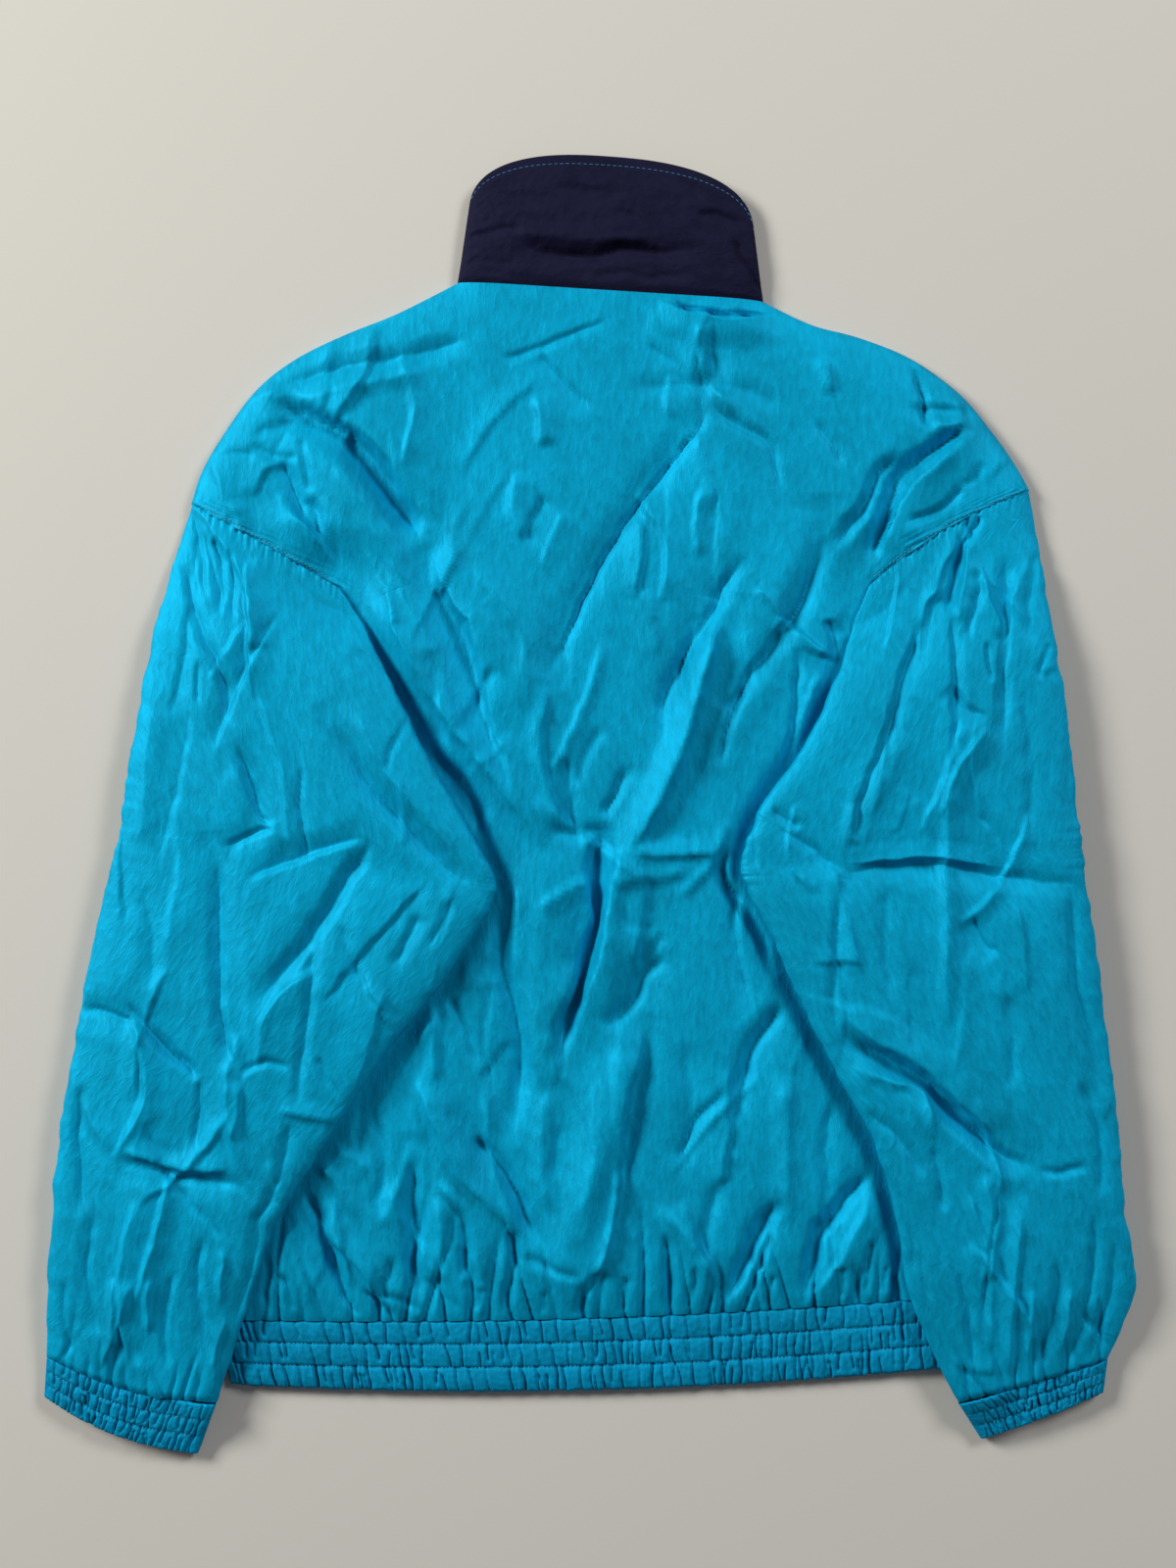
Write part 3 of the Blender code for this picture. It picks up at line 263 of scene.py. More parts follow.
backPanel = {
    "rows": {"shoulder": 70, "armhole": 28, "lip": 27, "side": 175},
    "columns": 311,
    "sagRows": 90,  # the last rows, over which the body comes to follow the waist
    "least": 3.0,
    "puckers": (5, 10),  # how far they reach from the armhole seams
    # how it rolls over the side seams and ends beside the fronts: how far out, and how much lower
    "wrap": [(0.7, 0.8), (0.9, 1.9), (0.5, 3.0)],
    "foldShare": 0.8,  # how much of each broad fold is left beside the creases
    "crumple": 1.0,
    "gathers": {"pitch": (6.0, 19.0), "reach": (16, 85), "depth": (2.2, 5.2)},
    # the fold below the collar
    "neckFold": [
        ((42, 310, 62, 301, 76, 298, 96, 297, 118, 297), 2, 20, 3),
        ((52, 306, 62, 303.4, 76, 300.4, 96, 299.4, 116, 299.4), 2.6, 2.6, -3.6),
    ],
    "folds": [
        (-195, 248.4, -130, 205.5, -105, 168, 10, -8),
        (-186, 224, -150, 192.6, -116, 132, 15, 6),
        (-100, 158, -78, 105, -44, 25, 9, -5),
        (-166, 186, -110, 97, -64, 24, 12, 7),
        (-84, 165, -54, 96, -22, 0, 14, 4),
        (-132, 138.6, -67.8, 29.4, -21.6, -18, 9, 4),
        (73, 241.8, 12, 157, -24.6, 76.8, 9, -5),
        (94.2, 150, 66.6, 110.4, 45.6, 55.8, 11, -4),
        (79.2, 126, 59.4, 42, 21, -28.8, 11, 6),
        (90, 130, 73, 50, 44, 2, 9, -4),
        (146, 190, 130.8, 126.6, 80.4, 60, 10, -5),
        (206.4, 228.6, 183, 172, 150, 86, 11, -6),
        (232, 246, 214, 222, 196, 206, 14, 5),
        (130, 180, 112, 110, 72, 20, 13, 4),
        (-50, 60, -18, -4, 0, -24, 10, -4),
        (10.2, -12, 2.4, -56, -17, -146, 10, -7),
        (22, -26, 15, -80, 10, -150, 12, 5),
        (-26, -30, -30, -90, -34, -160, 15, 6),
        (22, -36, 48, -32, 76, -31, 9, 4),
        (38, -126, 20, -216, -4, -300, 9, -6),
        (18, -150, 2, -220, -22, -296, 12, 5),
        (-55.3, -52, -44.5, -129, -48, -208, 10, -5),
        (-100, -160, -75, -222, -46, -262, 9, 4),
        (-84, -184, -56, -222, -30, -278, 8, -4),
        (-108, -200, -108, -262, -101, -312, 10, -5),
        (-176, -226, -160, -276, -141, -314, 9, -5),
        (48, -88, 33, -116, 8, -138, 10, -4),
        (120, -122, 95, -168, 88, -214, 9, -4),
        (118, -236, 103, -264, 83, -304, 9, -4),
        (176, -218, 148, -258, 133, -302, 10, -5),
        (36, 298, 76, 291, 122, 290, 9, 4),
    ],
    "creases": [
        ((-193, 248, -164, 235, -143, 224, -130, 208), 5, 8, -2.6),
        ((-150, 226, -139, 218, -130, 206, -119, 190, -111, 177, -102, 162), 6, 13, -6),
        ((-189, 255, -159, 241, -137, 229, -122, 215, -106, 188, -96, 169), 30, 7, 2.6),
        ((-97, 157, -89, 139, -76, 118, -70, 110, -63, 84, -57, 55, -50, 33, -35, 3, -20, -19), 26, 8, 4),
        ((-137, 157, -123, 131, -115, 109), 5, 4, 1.6),
        ((-129, 142, -116, 107, -101, 79, -86, 54, -68, 32, -48, 5, -33, -14), 14, 6, 3),
        ((-162, 220, -129, 169, -102, 109, -84, 73), 14, 10, 2.5),
        ((-188, 193, -182, 177, -171, 166, -164, 156, -155, 140, -146, 122, -142, 108, -133, 94), 7, 26, 4),
        ((-171, 188, -165, 174, -168, 160), 6, 6, -3),
        ((-160, 170, -152, 146, -147, 131, -142, 113, -133, 97, -121, 77, -108, 50, -98, 31), 10, 6, -6.5),
        ((-103, 40, -92, 20, -79, 2, -70, -18, -64, -34), 13, 9, -6),
        ((-104, 35, -89, 25, -74, 13, -67, -4, -70, -22), 7, 9, -5),
        ((-188, 211, -180, 193, -173, 172), 8, 8, -3),
        ((-195, 254, -149, 268, -103, 276, -72, 285), 10, 12, -2.4),
        ((-180, 247, -137, 257, -96, 265), 10, 10, 1.6),
        ((-54, 272, -28, 280, 17, 299), 4, 5, -1.4),
        ((-210, 219, -190, 213, -176, 212), 5, 4, -1.2),
        ((-176, 226, -172, 205, -170, 190), 5, 5, -1.6),
        ((-206, 226, -181, 232, -163, 230), 5, 5, -1.4),
        ((-224, 241, -203, 250, -180, 251), 6, 6, 1.5),
        ((-232, 211, -216, 215, -203, 211), 5, 5, -1.2),
        ((-73, 149, -50, 124, -38, 104, -37, 84, -37, 55), 22, 11, 2.6),
        ((73, 241, 66, 227, 38, 192, 19, 166, 4, 140, -11, 106, -25, 77), 3.2, 3.2, -2.6),
        ((-14, 30, -11, 3, -5, -30), 7, 7, -2.4),
        ((9, 49, -2, 29, -7, 8), 6, 5, -1.4),
        ((27, 26, 13, 1, 10, -7), 7, 5, -2.4),
        ((-24, 73, -31, 41, -26, 13, -15, -16), 5, 8, 2),
        ((80, 121, 75, 100, 68, 77, 62, 52, 54, 28, 43, 4, 30, -19, 22, -30), 8, 15, 4.2),
        ((73, 87, 71, 68, 66, 53, 61, 37, 54, 19), 5, 4, -1.8),
        ((99, 154, 86, 138, 77, 120, 68, 105, 57, 87, 49, 70, 46, 56, 49, 32), 8, 7, -3.2),
        ((58, 91, 56, 79, 58, 65), 3, 3, -1.2),
        ((11, -10, 5, -34, 4, -50, 6, -68, -1, -91, -7, -113, -17, -142, -20, -167), 8, 8, -7),
        ((13, -10, 20, -28, 20, -40, 16, -49, 13, -68, 10, -91, 4, -109, -4, -131, -13, -167), 22, 7, 3.4),
        ((-2, -33, 0, -56, 0, -77, -5, -100, -13, -119, -19, -137), 6, 22, 2.8),
        ((24, -29, 43, -29, 65, -28, 80, -28), 9, 5, 2.4),
        ((17, -50, 26, -46, 47, -43, 67, -41), 8, 6, 1.8),
        ((60, -17, 64, -27, 62, -35), 4, 4, -1.2),
        ((-24, -13, -12, -19, 0, -17, 11, -13), 6, 5, -1.8),
        ((75, 244, 95, 230, 112, 219, 118, 182), 5, 5, -2),
        ((147, 170, 138, 144, 130, 124, 120, 109, 104, 87, 95, 74, 87, 62, 80, 58), 12, 3.5, -3),
        ((95, 73, 86, 48, 80, 23), 5, 4, -2.6),
        ((191, 214, 179, 203, 170, 183, 159, 169, 150, 154), 7, 8, -4),
        ((235, 236, 219, 221, 206, 212, 189, 196, 182, 172, 175, 152, 171, 133), 4, 10, -7),
        ((239, 231, 217, 209, 198, 193, 187, 169, 179, 139), 26, 5, 3.6),
        ((210, 233, 221, 230, 234, 238), 8, 6, 2.6),
        ((199, 270, 203, 256, 206, 241, 206, 229), 6, 3, -3),
        ((146, 114, 151, 101, 155, 84), 7, 6, -3.2),
        ((171, 133, 163, 116, 155, 100), 6, 9, -4),
        ((128, 98, 127, 62, 124, 37, 117, 22), 6, 4, -2.2),
        ((156, 73, 143, 49, 127, 19, 115, 4), 12, 8, -3),
        ((230, 196, 214, 179, 193, 172), 5, 5, -1.8),
        ((193, 164, 201, 160, 206, 158), 3, 3, -1.4),
        ((242, 211, 236, 199, 228, 193), 4, 4, -1.3),
        ((138, 235, 150, 221, 155, 205), 5, 5, -1.6),
        ((102, 133, 114, 121, 120, 97), 8, 6, 1.6),
        ((24, 253, 60, 257, 96, 253, 120, 241), 10, 8, -1.4),
        ((36, 283, 54, 269, 60, 253), 6, 6, -1.2),
        ((33, -131, 29, -155, 22, -179, 17, -224, 10, -269, -1, -296, -6, -313), 6, 30, 4.2),
        ((-55, -55, -53, -97, -44, -129, -41, -161, -48, -206), 9, 9, -3),
        ((-86, -116, -75, -138, -66, -161), 6, 6, -2),
        ((-106, -165, -90, -197, -75, -226, -44, -259), 14, 7, 3),
        ((-70, -203, -52, -224, -28, -273), 6, 7, -3),
        ((-106, -215, -107, -269, -102, -313), 6, 8, -3),
        ((-176, -235, -163, -257, -152, -291, -142, -313), 7, 6, -3.5),
        ((-165, -253, -138, -282, -120, -313), 12, 6, 3),
        ((49, -79, 40, -88, 30, -101), 4, 5, -1.6),
        ((49, -92, 36, -102, 31, -114, 22, -128, 8, -137), 6, 9, -3),
        ((119, -122, 112, -134, 102, -146, 97, -160, 90, -191), 6, 8, -3),
        ((119, -165, 121, -206, 122, -260), 12, 12, 2.5),
        ((119, -241, 101, -268, 85, -302), 6, 7, -3),
        ((175, -223, 155, -246, 140, -269, 133, -302), 6, 8, -3.5),
        ((85, -25, 83, -43, 97, -62, 107, -79, 114, -107), 4, 9, -5),
        ((24, -47, 24, -71, 43, -75), 5, 5, -1),
        ((-196, -278, -198, -293, -200, -310), 5, 6, -3),
        ((-187, -285, -179, -313), 4, 5, -2.5),
        ((-154, -296, -143, -310, -140, -314), 4, 4, -2.5),
        ((-137, -294, -123, -312, -119, -314), 5, 4, -2.8),
        ((-129, -297, -100, -312), 5, 5, -2),
        ((-77, -269, -71, -300), 4, 5, -2),
        ((-65, -295, -69, -311), 4, 4, -2.4),
        ((-45, -260, -45, -281, -52, -314), 5, 6, -3.4),
        ((-41, -277, -5, -290), 5, 5, -1.8),
        ((-27, -297, -28, -314), 4, 4, -2.4),
        ((8, -280, -4, -304, -8, -315), 4, 6, -3.4),
        ((24, -287, 20, -314), 4, 5, -2.2),
        ((48, -262, 49, -287, 48, -314), 6, 6, -3),
        ((67, -281, 62, -313), 4, 5, -2.2),
        ((110, -246, 96, -281, 80, -311), 6, 6, -3),
        ((114, -287, 109, -310), 4, 4, -2.2),
        ((142, -250, 138, -281, 133, -308), 6, 6, -3),
        ((156, -281, 155, -305), 4, 5, -2.4),
        ((174, -265, 170, -302), 5, 5, -2.6),
        ((183, -281, 181, -301), 4, 4, -2),
        ((-90, -47, -78, -83, -74, -113), 9, 9, 2),
        ((-24, -173, -29, -215, -24, -251), 10, 9, 2),
        ((60, -143, 63, -185, 54, -227), 14, 12, -1.8),
        ((150, -179, 145, -215, 150, -245), 9, 8, -1.8),
        ((-180, -215, -156, -227, -140, -257), 8, 6, 2),
        ((-132, -185, -125, -221, -130, -251), 8, 8, -2),
        ((-92, -239, -89, -269, -92, -293), 8, 7, 2.2),
        ((81, -227, 73, -257, 70, -281), 8, 8, -2),
    ],
}

collarPiece = {
    "rows": 46,
    "upper": 170,
    "under": 44,
    "roll": ((0.2, 0.7), (0.5, 1.0), (0.8, 0.7)),  # over its top edge: the share across, and the rise
    # left x, left y, right x, right y, rise of the back half, drop of the front half, height, share
    "base": (-80.4, 320.4, 108.0, 308.7, 0.0, 66.0, 12.0, 0.18),
    "top": (-73.2, 362.0, 102.0, 349.0, 40.6, 24.0, 10.0, 0.4),
    "crown": 2.5,
    "corners": 2.5,
    "wall": 2.0,
    "folds": [
        (-46, 343, 8, 336, 74, 340, 8, -3),
        (-60, 356, -22, 352, 30, 356, 9, 2),
        (62, 362, 82, 356, 98, 346, 7, -2),
    ],
    "creases": [
        ((-44, 343, -23, 337, 2, 336, 23, 341, 42, 338, 73, 340), 5, 7, -2.6),
        ((-48, 350, -18, 345, 12, 345, 48, 347), 9, 5, 1.4),
        ((-74, 347, -62, 350, -50, 353, -37, 352), 4, 5, -1.4),
        ((16, 362, 24, 361, 31, 359), 3, 4, -1.2),
        ((65, 361, 80, 361, 98, 353), 4, 5, -1.6),
        ((-68, 328, -42, 322, -24, 319), 4, 4, -0.9),
        ((-76, 335, -60, 333, -42, 331), 4, 4, -0.8),
        ((0, 322, 24, 325, 41, 322, 60, 325), 4, 4, -0.9),
        ((89, 346, 92, 337, 101, 324, 108, 309), 5, 3, -2.2),
        ((85, 351, 89, 343, 96, 329, 106, 311), 3, 12, 1.2),
        ((-26, 380, 0, 375, 24, 376), 6, 6, -0.8),
        ((54, 385, 65, 377, 70, 367), 5, 5, -0.9),
    ],
}


def smoothRows(rows, at):  # a Catmull-Rom curve through the rows of a table, at places counted in rows
    rows = np.asarray(rows, float)
    last = len(rows) - 1
    at = np.clip(np.asarray(at, float), 0, last)
    i = np.minimum(at.astype(int), last - 1)
    u = (at - i)[:, None]
    before, start = rows[np.maximum(i - 1, 0)], rows[i]
    end, after = rows[i + 1], rows[np.minimum(i + 2, last)]
    leave, arrive = (end - before) / 2, (after - start) / 2
    return (
        start * (2 * u**3 - 3 * u**2 + 1)
        + leave * (u**3 - 2 * u**2 + u)
        + end * (3 * u**2 - 2 * u**3)
        + arrive * (u**3 - u**2)
    )


def curve(rows, count):  # that curve from end to end, as this many points
    return smoothRows(rows, np.linspace(0, len(rows) - 1, count))


def ease(low, high, value):  # 0 up to low, then smoothly to 1 at high
    t = np.clip((value - low) / (high - low), 0, 1)
    return t * t * (3 - 2 * t)


def blend(start, end, share):
    return start + (end - start) * share


def even(count, crowd):  # steps from 0 to 1, crowded towards both ends
    k = np.linspace(0, 1, count + 1)
    return blend(k, (1 - np.cos(np.pi * k)) / 2, crowd)


def unit(way):
    return way / np.maximum(np.linalg.norm(way, axis=-1, keepdims=True), 1e-9)


def leftOf(way):  # a way on the flat, turned left by a quarter turn
    return np.stack([-way[..., 1], way[..., 0]], axis=-1)


def upOff(chord):  # the way at right angles to a chord that leads up the picture
    side = unit(leftOf(chord))
    return side * np.sign(side[..., 1:])


def runAlong(line):  # the length along a line of points up to each of them
    return np.concatenate([[0], np.cumsum(np.linalg.norm(np.diff(line, axis=0), axis=1))])


def pointAt(line, lengths, s):
    return np.array([np.interp(s, lengths, column) for column in line.T])


def nearestOn(points, line):  # distance to a line of points, the place along it from 0 to 1, and the side
    line = np.asarray(line, float)
    best = np.full(points.shape[:-1], np.inf)
    along = np.zeros(points.shape[:-1])
    side = np.ones(points.shape[:-1])  # above 0 to the left of the line's way
    for i, (a, b) in enumerate(zip(line[:-1], line[1:])):
        step = b - a
        away = points - a
        t = np.clip((away @ step) / (step @ step), 0, 1)
        distance = np.hypot(away[..., 0] - t * step[0], away[..., 1] - t * step[1])
        closer = distance < best
        along[closer] = (i + t[closer]) / (len(line) - 1)
        turn = step[0] * away[..., 1] - step[1] * away[..., 0]
        side[closer] = np.sign(turn[closer])
        best = np.minimum(best, distance)
    return best, along, side


def insideOf(points, ring):
    ring = np.asarray(ring, float)
    within = np.zeros(points.shape[:-1], bool)
    x, y = points[..., 0], points[..., 1]
    for (ax, ay), (bx, by) in zip(ring, np.roll(ring, -1, axis=0)):
        if ay != by:
            within ^= ((ay > y) != (by > y)) & (x < ax + (y - ay) * (bx - ax) / (by - ay))
    return within


def around(points, line, reach):  # which points lie in the box round a line
    low, high = line.min(axis=0) - reach, line.max(axis=0) + reach
    return np.all((points > low) & (points < high), axis=-1)


def flatTube(a, power):  # the height of a flattened tube across its width
    return (1 - np.abs(2 * a - 1) ** power) ** (1 / power)


def tubeHeight(low, top, full, isUpper):  # the upper or lower half of such a tube
    middle = low + 0.5 * (top - low)
    return middle + ((top if isUpper else low) - middle) * full


def noise(x, y, seed):  # smooth noise of about -1 to 1 on a lattice with a spacing of 1
    x0, y0 = np.floor(x).astype(np.int64), np.floor(y).astype(np.int64)
    fx, fy = x - x0, y - y0
    ux, uy = (f * f * f * (f * (f * 6 - 15) + 10) for f in (fx, fy))

    def corner(i, j):
        h = ((x0 + i) * 374761393 + (y0 + j) * 668265263 + seed * 974634777) & 0x7FFFFFFF
        h = ((h ^ (h >> 13)) * 1274126177) & 0x7FFFFFFF
        angle = ((h >> 7) & 0xFFFF) / 65536 * 2 * np.pi
        return np.cos(angle) * (fx - i) + np.sin(angle) * (fy - j)

    return 1.45 * blend(blend(corner(0, 0), corner(1, 0), ux), blend(corner(0, 1), corner(1, 1), ux), uy)


def broadFolds(points, folds, share):
    total = np.zeros(points.shape[:-1])
    for fold in folds:
        start, through, end = np.reshape(fold[:6], (3, 2))
        width, height = fold[6:]
        control = 2 * through - (start + end) / 2
        t = np.linspace(0, 1, 9)[:, None]
        line = start * (1 - t) ** 2 + 2 * control * t * (1 - t) + end * t**2
        near = around(points, line, 2.6 * width)  # past this a fold is flat
        distance, along, _ = nearestOn(points[near], line)
        total[near] += height * np.sin(np.pi * along) ** 0.6 * np.exp(-((distance / width) ** 2))
    return total * share


creaseMake = {
    "height": 1.7,  # how much of the written heights shows
    "lean": 0.4,  # how far a crest leans over its steep side, as a share of that side's width
    "leanMost": 2.2,
    "wave": (13.0, 1.3),  # how long its waves are, and how far they reach
    "ends": (0.22, 0.25),  # the shares of its length over which it grows and fades
    "sharpness": 1.5,
    "step": 6.0,
}


def creaseShape(points, creases, seed):
    # crests and troughs that are sharp at their line: their heights, and how they lean over sideways
    wave, reach = creaseMake["wave"]
    warp = [noise(points[..., 0] / wave, points[..., 1] / wave, seed + k) for k in (0, 1)]
    points = points + reach * np.stack(warp, axis=-1)
    grow, fade = creaseMake["ends"]
    total = np.zeros(points.shape[:-1])
    lean = np.zeros(points.shape)
    for path, left, right, height in creases:
        knots = np.reshape(path, (-1, 2))
        length = np.linalg.norm(np.diff(knots, axis=0), axis=1).sum()
        line = curve(knots, max(3, int(length / creaseMake["step"])))
        near = around(points, line, max(left, right))
        if not near.any():
            continue
        distance, along, side = nearestOn(points[near], line)
        taper = ease(0, grow, along) * ease(0, fade, 1 - along)
        width = np.where(side > 0, left, right)
        shape = taper * np.clip(1 - distance / width, 0, 1) ** creaseMake["sharpness"]
        total[near] += height * shape
        if height > 0 and max(left, right) > 1.5 * min(left, right):
            step = np.diff(line, axis=0)
            ways = unit(leftOf(step)) * (1 if left < right else -1)
            segment = np.minimum((along * len(step)).astype(int), len(step) - 1)
            over = min(creaseMake["lean"] * min(left, right), creaseMake["leanMost"], 0.8 * height)
            lean[near] += over * shape[..., None] * ways[segment]
    return creaseMake["height"] * total, lean


crumpleMake = {
    "swell": (58.0, 1.6),  # smooth noise of this width, and its height
    "small": (9.0, 0.35),
    "along": 3.0,  # how much longer both are down the grain
    # the sharp small creases: how many in 100 x 100 mm, and their sizes
    "crowd": 4.0,
    "length": (24.0, 105.0),
    "steepSide": (2.4, 4.5),
    "easySide": (7.0, 21.0),
    "height": (0.6, 2.3),
    "turn": 0.42,  # from the grain, in radians
    "cross": 0.05,  # the share that runs across the grain
    "bow": 0.09,  # as a share of the length
}


def crumple(points, seed):  # the creases of crushed nylon: sharp and nearly straight, on soft swells
    x, y = points[..., 0], points[..., 1]
    total = np.zeros(points.shape[:-1])
    for k, (width, height) in enumerate((crumpleMake["swell"], crumpleMake["small"])):
        total += height * noise(x / width, y / width / crumpleMake["along"], seed + k)
    draw = np.random.default_rng(seed)
    low, high = points.reshape(-1, 2).min(axis=0), points.reshape(-1, 2).max(axis=0)
    rows = []
    for _ in range(int(crumpleMake["crowd"] * np.prod(high - low) / 100**2)):
        middle = draw.uniform(low, high)
        turn = draw.normal(0, crumpleMake["turn"])
        turn += math.pi / 2 if draw.random() < crumpleMake["cross"] else 0
        way = np.array([math.sin(turn), -math.cos(turn)])
        length = draw.uniform(*crumpleMake["length"])
        bow = draw.normal(0, crumpleMake["bow"]) * length * leftOf(way)
        path = [*(middle - way * length / 2), *(middle + bow), *(middle + way * length / 2 + 0.4 * bow)]
        widths = [draw.uniform(*crumpleMake["steepSide"]), draw.uniform(*crumpleMake["easySide"])]
        draw.shuffle(widths)
        rows.append((path, *widths, draw.uniform(*crumpleMake["height"]) * draw.choice([1, 1, -1])))
    return total + creaseShape(points, rows, seed + 2)[0]


sides = {"left": (0, -1), "right": (2, 1)}  # where a side starts in a row of the outline, and its sign


def zipEdge(side):
    return outline["zipX"] + sides[side][1] * outline["zipGap"] / 2


def armholeSeam(sleeve, a):
    start, end = np.reshape(sleeve["sections"][0], (2, 2))
    a = np.asarray(a)[:, None]
    return start + (end - start) * a + upOff(end - start) * sleeve["headBow"] * np.sin(np.pi * a)


def sewnLine(sleeve):
    return armholeSeam(sleeve, np.linspace(0, 1, 24))


def bodyEdges(rows):  # the left and right edge of the body at each row, from the neck down
    a = np.linspace(0, 1, rows["armhole"] + 1)[1:]
    share = np.linspace(0, 1, rows["lip"] + 1)[1:, None]
    return np.vstack([
        curve(outline["shoulder"], rows["shoulder"] + 1),
        np.hstack([armholeSeam(sleeve, a) for sleeve in (leftSleeve, rightSleeve)]),
        blend(np.array(outline["armholeFront"]), np.array(outline["side"][0]), share),
        curve(outline["side"], rows["side"] + 1)[1:],
    ])


def seamLine(station, sag, s):  # a line across the body, which sags in the middle
    s = np.asarray(s)[:, None]
    line = blend(np.array(station[:2]), np.array(station[2:]), s)
    return line + np.array([0.0, sag]) * 4 * s * (1 - s)


def waistLine(s):
    return seamLine(outline["side"][-1], outline["waistSag"], s)


def hemLine(s):
    return seamLine(outline["hem"], outline["hemSag"], s)


def innerEdge(sleeve):
    return curve(sleeve["sections"], 57)[:, 2:]


def sleeveCover(sleeve):  # the ring round the part of the back that a sleeve lies on, open to the outside
    head, far = sleeve["sections"][0], 1.5 * sleeve["sections"][0][0]
    below = [sleeve["cuffEnd"][1], (far, sleeve["cuffEnd"][1][1]), (far, head[1])]
    return np.array([*innerEdge(sleeve), *below, head[:2]])


def bare(sleeve, points, fade):  # 0 where the sleeve lies on the back, rising to 1 away from it
    distance = nearestOn(points, innerEdge(sleeve))[0]
    shown = np.where(insideOf(points, sleeveCover(sleeve)), 0, ease(*fade, distance))
    return shown * ease(*lie["pinchFade"], np.linalg.norm(points - innerEdge(sleeve)[0], axis=-1))


def backHeight(points, detail=None):  # the back's surface, with its creases where detail is given
    rolled = [curve(outline[run], count)[:, i : i + 2]
              for run, count in (("shoulder", 22), ("side", 25)) for i in (0, 2)]
    rim = np.min([nearestOn(points, line)[0] for line in rolled], axis=0)
    places = np.linspace(0, 1, 13)
    neck = nearestOn(points, seamLine(outline["shoulder"][0], 0.0, places))[0]
    waist = nearestOn(points, waistLine(places))[0]
    if detail is None:
        high = lie["backHigh"] + broadFolds(points, backPanel["folds"], 1.0)
    else:
        high = lie["backHigh"] + detail * ease(-1, 4, waist) * ease(0, 6, neck)
    for (level, plain, creased), distance in ((lie["neckHigh"], neck), (lie["waistHigh"], waist)):
        power = plain if detail is None else creased
        high = blend(level, high, ease(0, lie["seamFade"], distance) ** power)
    inward = 1 - np.clip(rim / lie["rollWidth"], 0, 1)
    shown = lie["rim"] + (high - lie["rim"]) * np.sqrt(1 - inward**2)
    lapped = np.minimum(lie["lapped"], lie["rim"] + lie["lappedSlope"] * rim)
    fade = lie["bareFade"] if detail is None else lie["closeFade"]
    return blend(lapped, shown, bare(leftSleeve, points, fade) * bare(rightSleeve, points, fade))


def sleeveLow(points):  # a sleeve's underside: on the body, or on the surface beside it
    rows = np.array([outline["armholeFront"], *curve(outline["side"], 25), outline["hem"]])
    body = np.vstack([rows[:, :2], rows[::-1, 2:]])
    distance = nearestOn(points, np.vstack([body, body[:1]]))[0]
    return lie["sleeveRest"] * (1 - ease(*lie["restFade"], np.where(insideOf(points, body), 0, distance)))


def collarLift(points):  # how far the collar's front stands off the surface round the slider
    across = 1 - ease(*lie["liftAcross"], np.abs(points[..., 0] - outline["zipX"]))
    low, high = lie["liftAlong"]
    return lie["sliderLift"] * across * np.clip((points[..., 1] - low) / (high - low), 0, 1)


print("stage: materials")

look = {
    "shell": {
        "colour": (0.0005, 0.305, 0.525), "roughness": 0.62, "specular": 0.05, "shine": 0.3, "bump": 0.65,
    },
    "band": {"colour": (0.0005, 0.24, 0.445), "roughness": 0.7, "specular": 0.06, "shine": 0.33, "bump": 0.8},
    "navy": {"colour": (0.0088, 0.0088, 0.03), "roughness": 0.7, "specular": 0.06, "shine": 0.3, "bump": 0.8},
    "tape": {"colour": (0.015, 0.015, 0.04), "roughness": 0.75, "specular": 0.2, "shine": 0.0, "bump": 0.3},
    "teeth": {"colour": (0.012, 0.012, 0.036), "roughness": 0.4},
    "metal": {"colour": (0.32, 0.32, 0.34), "roughness": 0.32},
    "tealThread": {"colour": (0.01, 0.30, 0.47), "roughness": 0.5},
    "blueThread": {"colour": (0.02, 0.16, 0.32), "roughness": 0.5},
    "paleSurface": {"colour": (0.52, 0.505, 0.475), "roughness": 0.85},
}

crinkleMake = {
    # the noise layers: lattice cells for each metre across and along the cloth, detail and distortion
    "layers": [
        ((120, 42, 120), 2.0, 0.3),
        ((300, 110, 300), 3.0, 0.25),
        ((1000, 380, 1000), 1.0, 0.2),
        ((26, 15, 26), 2.0, 0.6),
    ],
    "creases": (1.3, 0.6),  # how much of the first two shows, as sharp creases
    "threads": 0.2,
    "blotches": 0.45,  # the share of the last layer, random tone blotches, in the colour mask; the rest is the second layer's streaks of painted sheen
    "tones": ((0.36, 0.82), (0.64, 1.14)),  # where the mask of painted sheen streaks and random tone starts and ends, and the colour's share there
    "uneven": (-0.05, 0.07),  # how far the roughness goes below and above its own value
}


def setInputs(tree, node, inputs):  # each input gets a value, or a link from another node's output
    for name, value in inputs.items():
        if isinstance(value, bpy.types.NodeSocket):
            tree.links.new(value, node.inputs[name])
        else:
            node.inputs[name].default_value = value


def addNode(tree, kind, inputs=None):
    node = tree.nodes.new("ShaderNode" + kind)
    setInputs(tree, node, inputs or {})
    return node


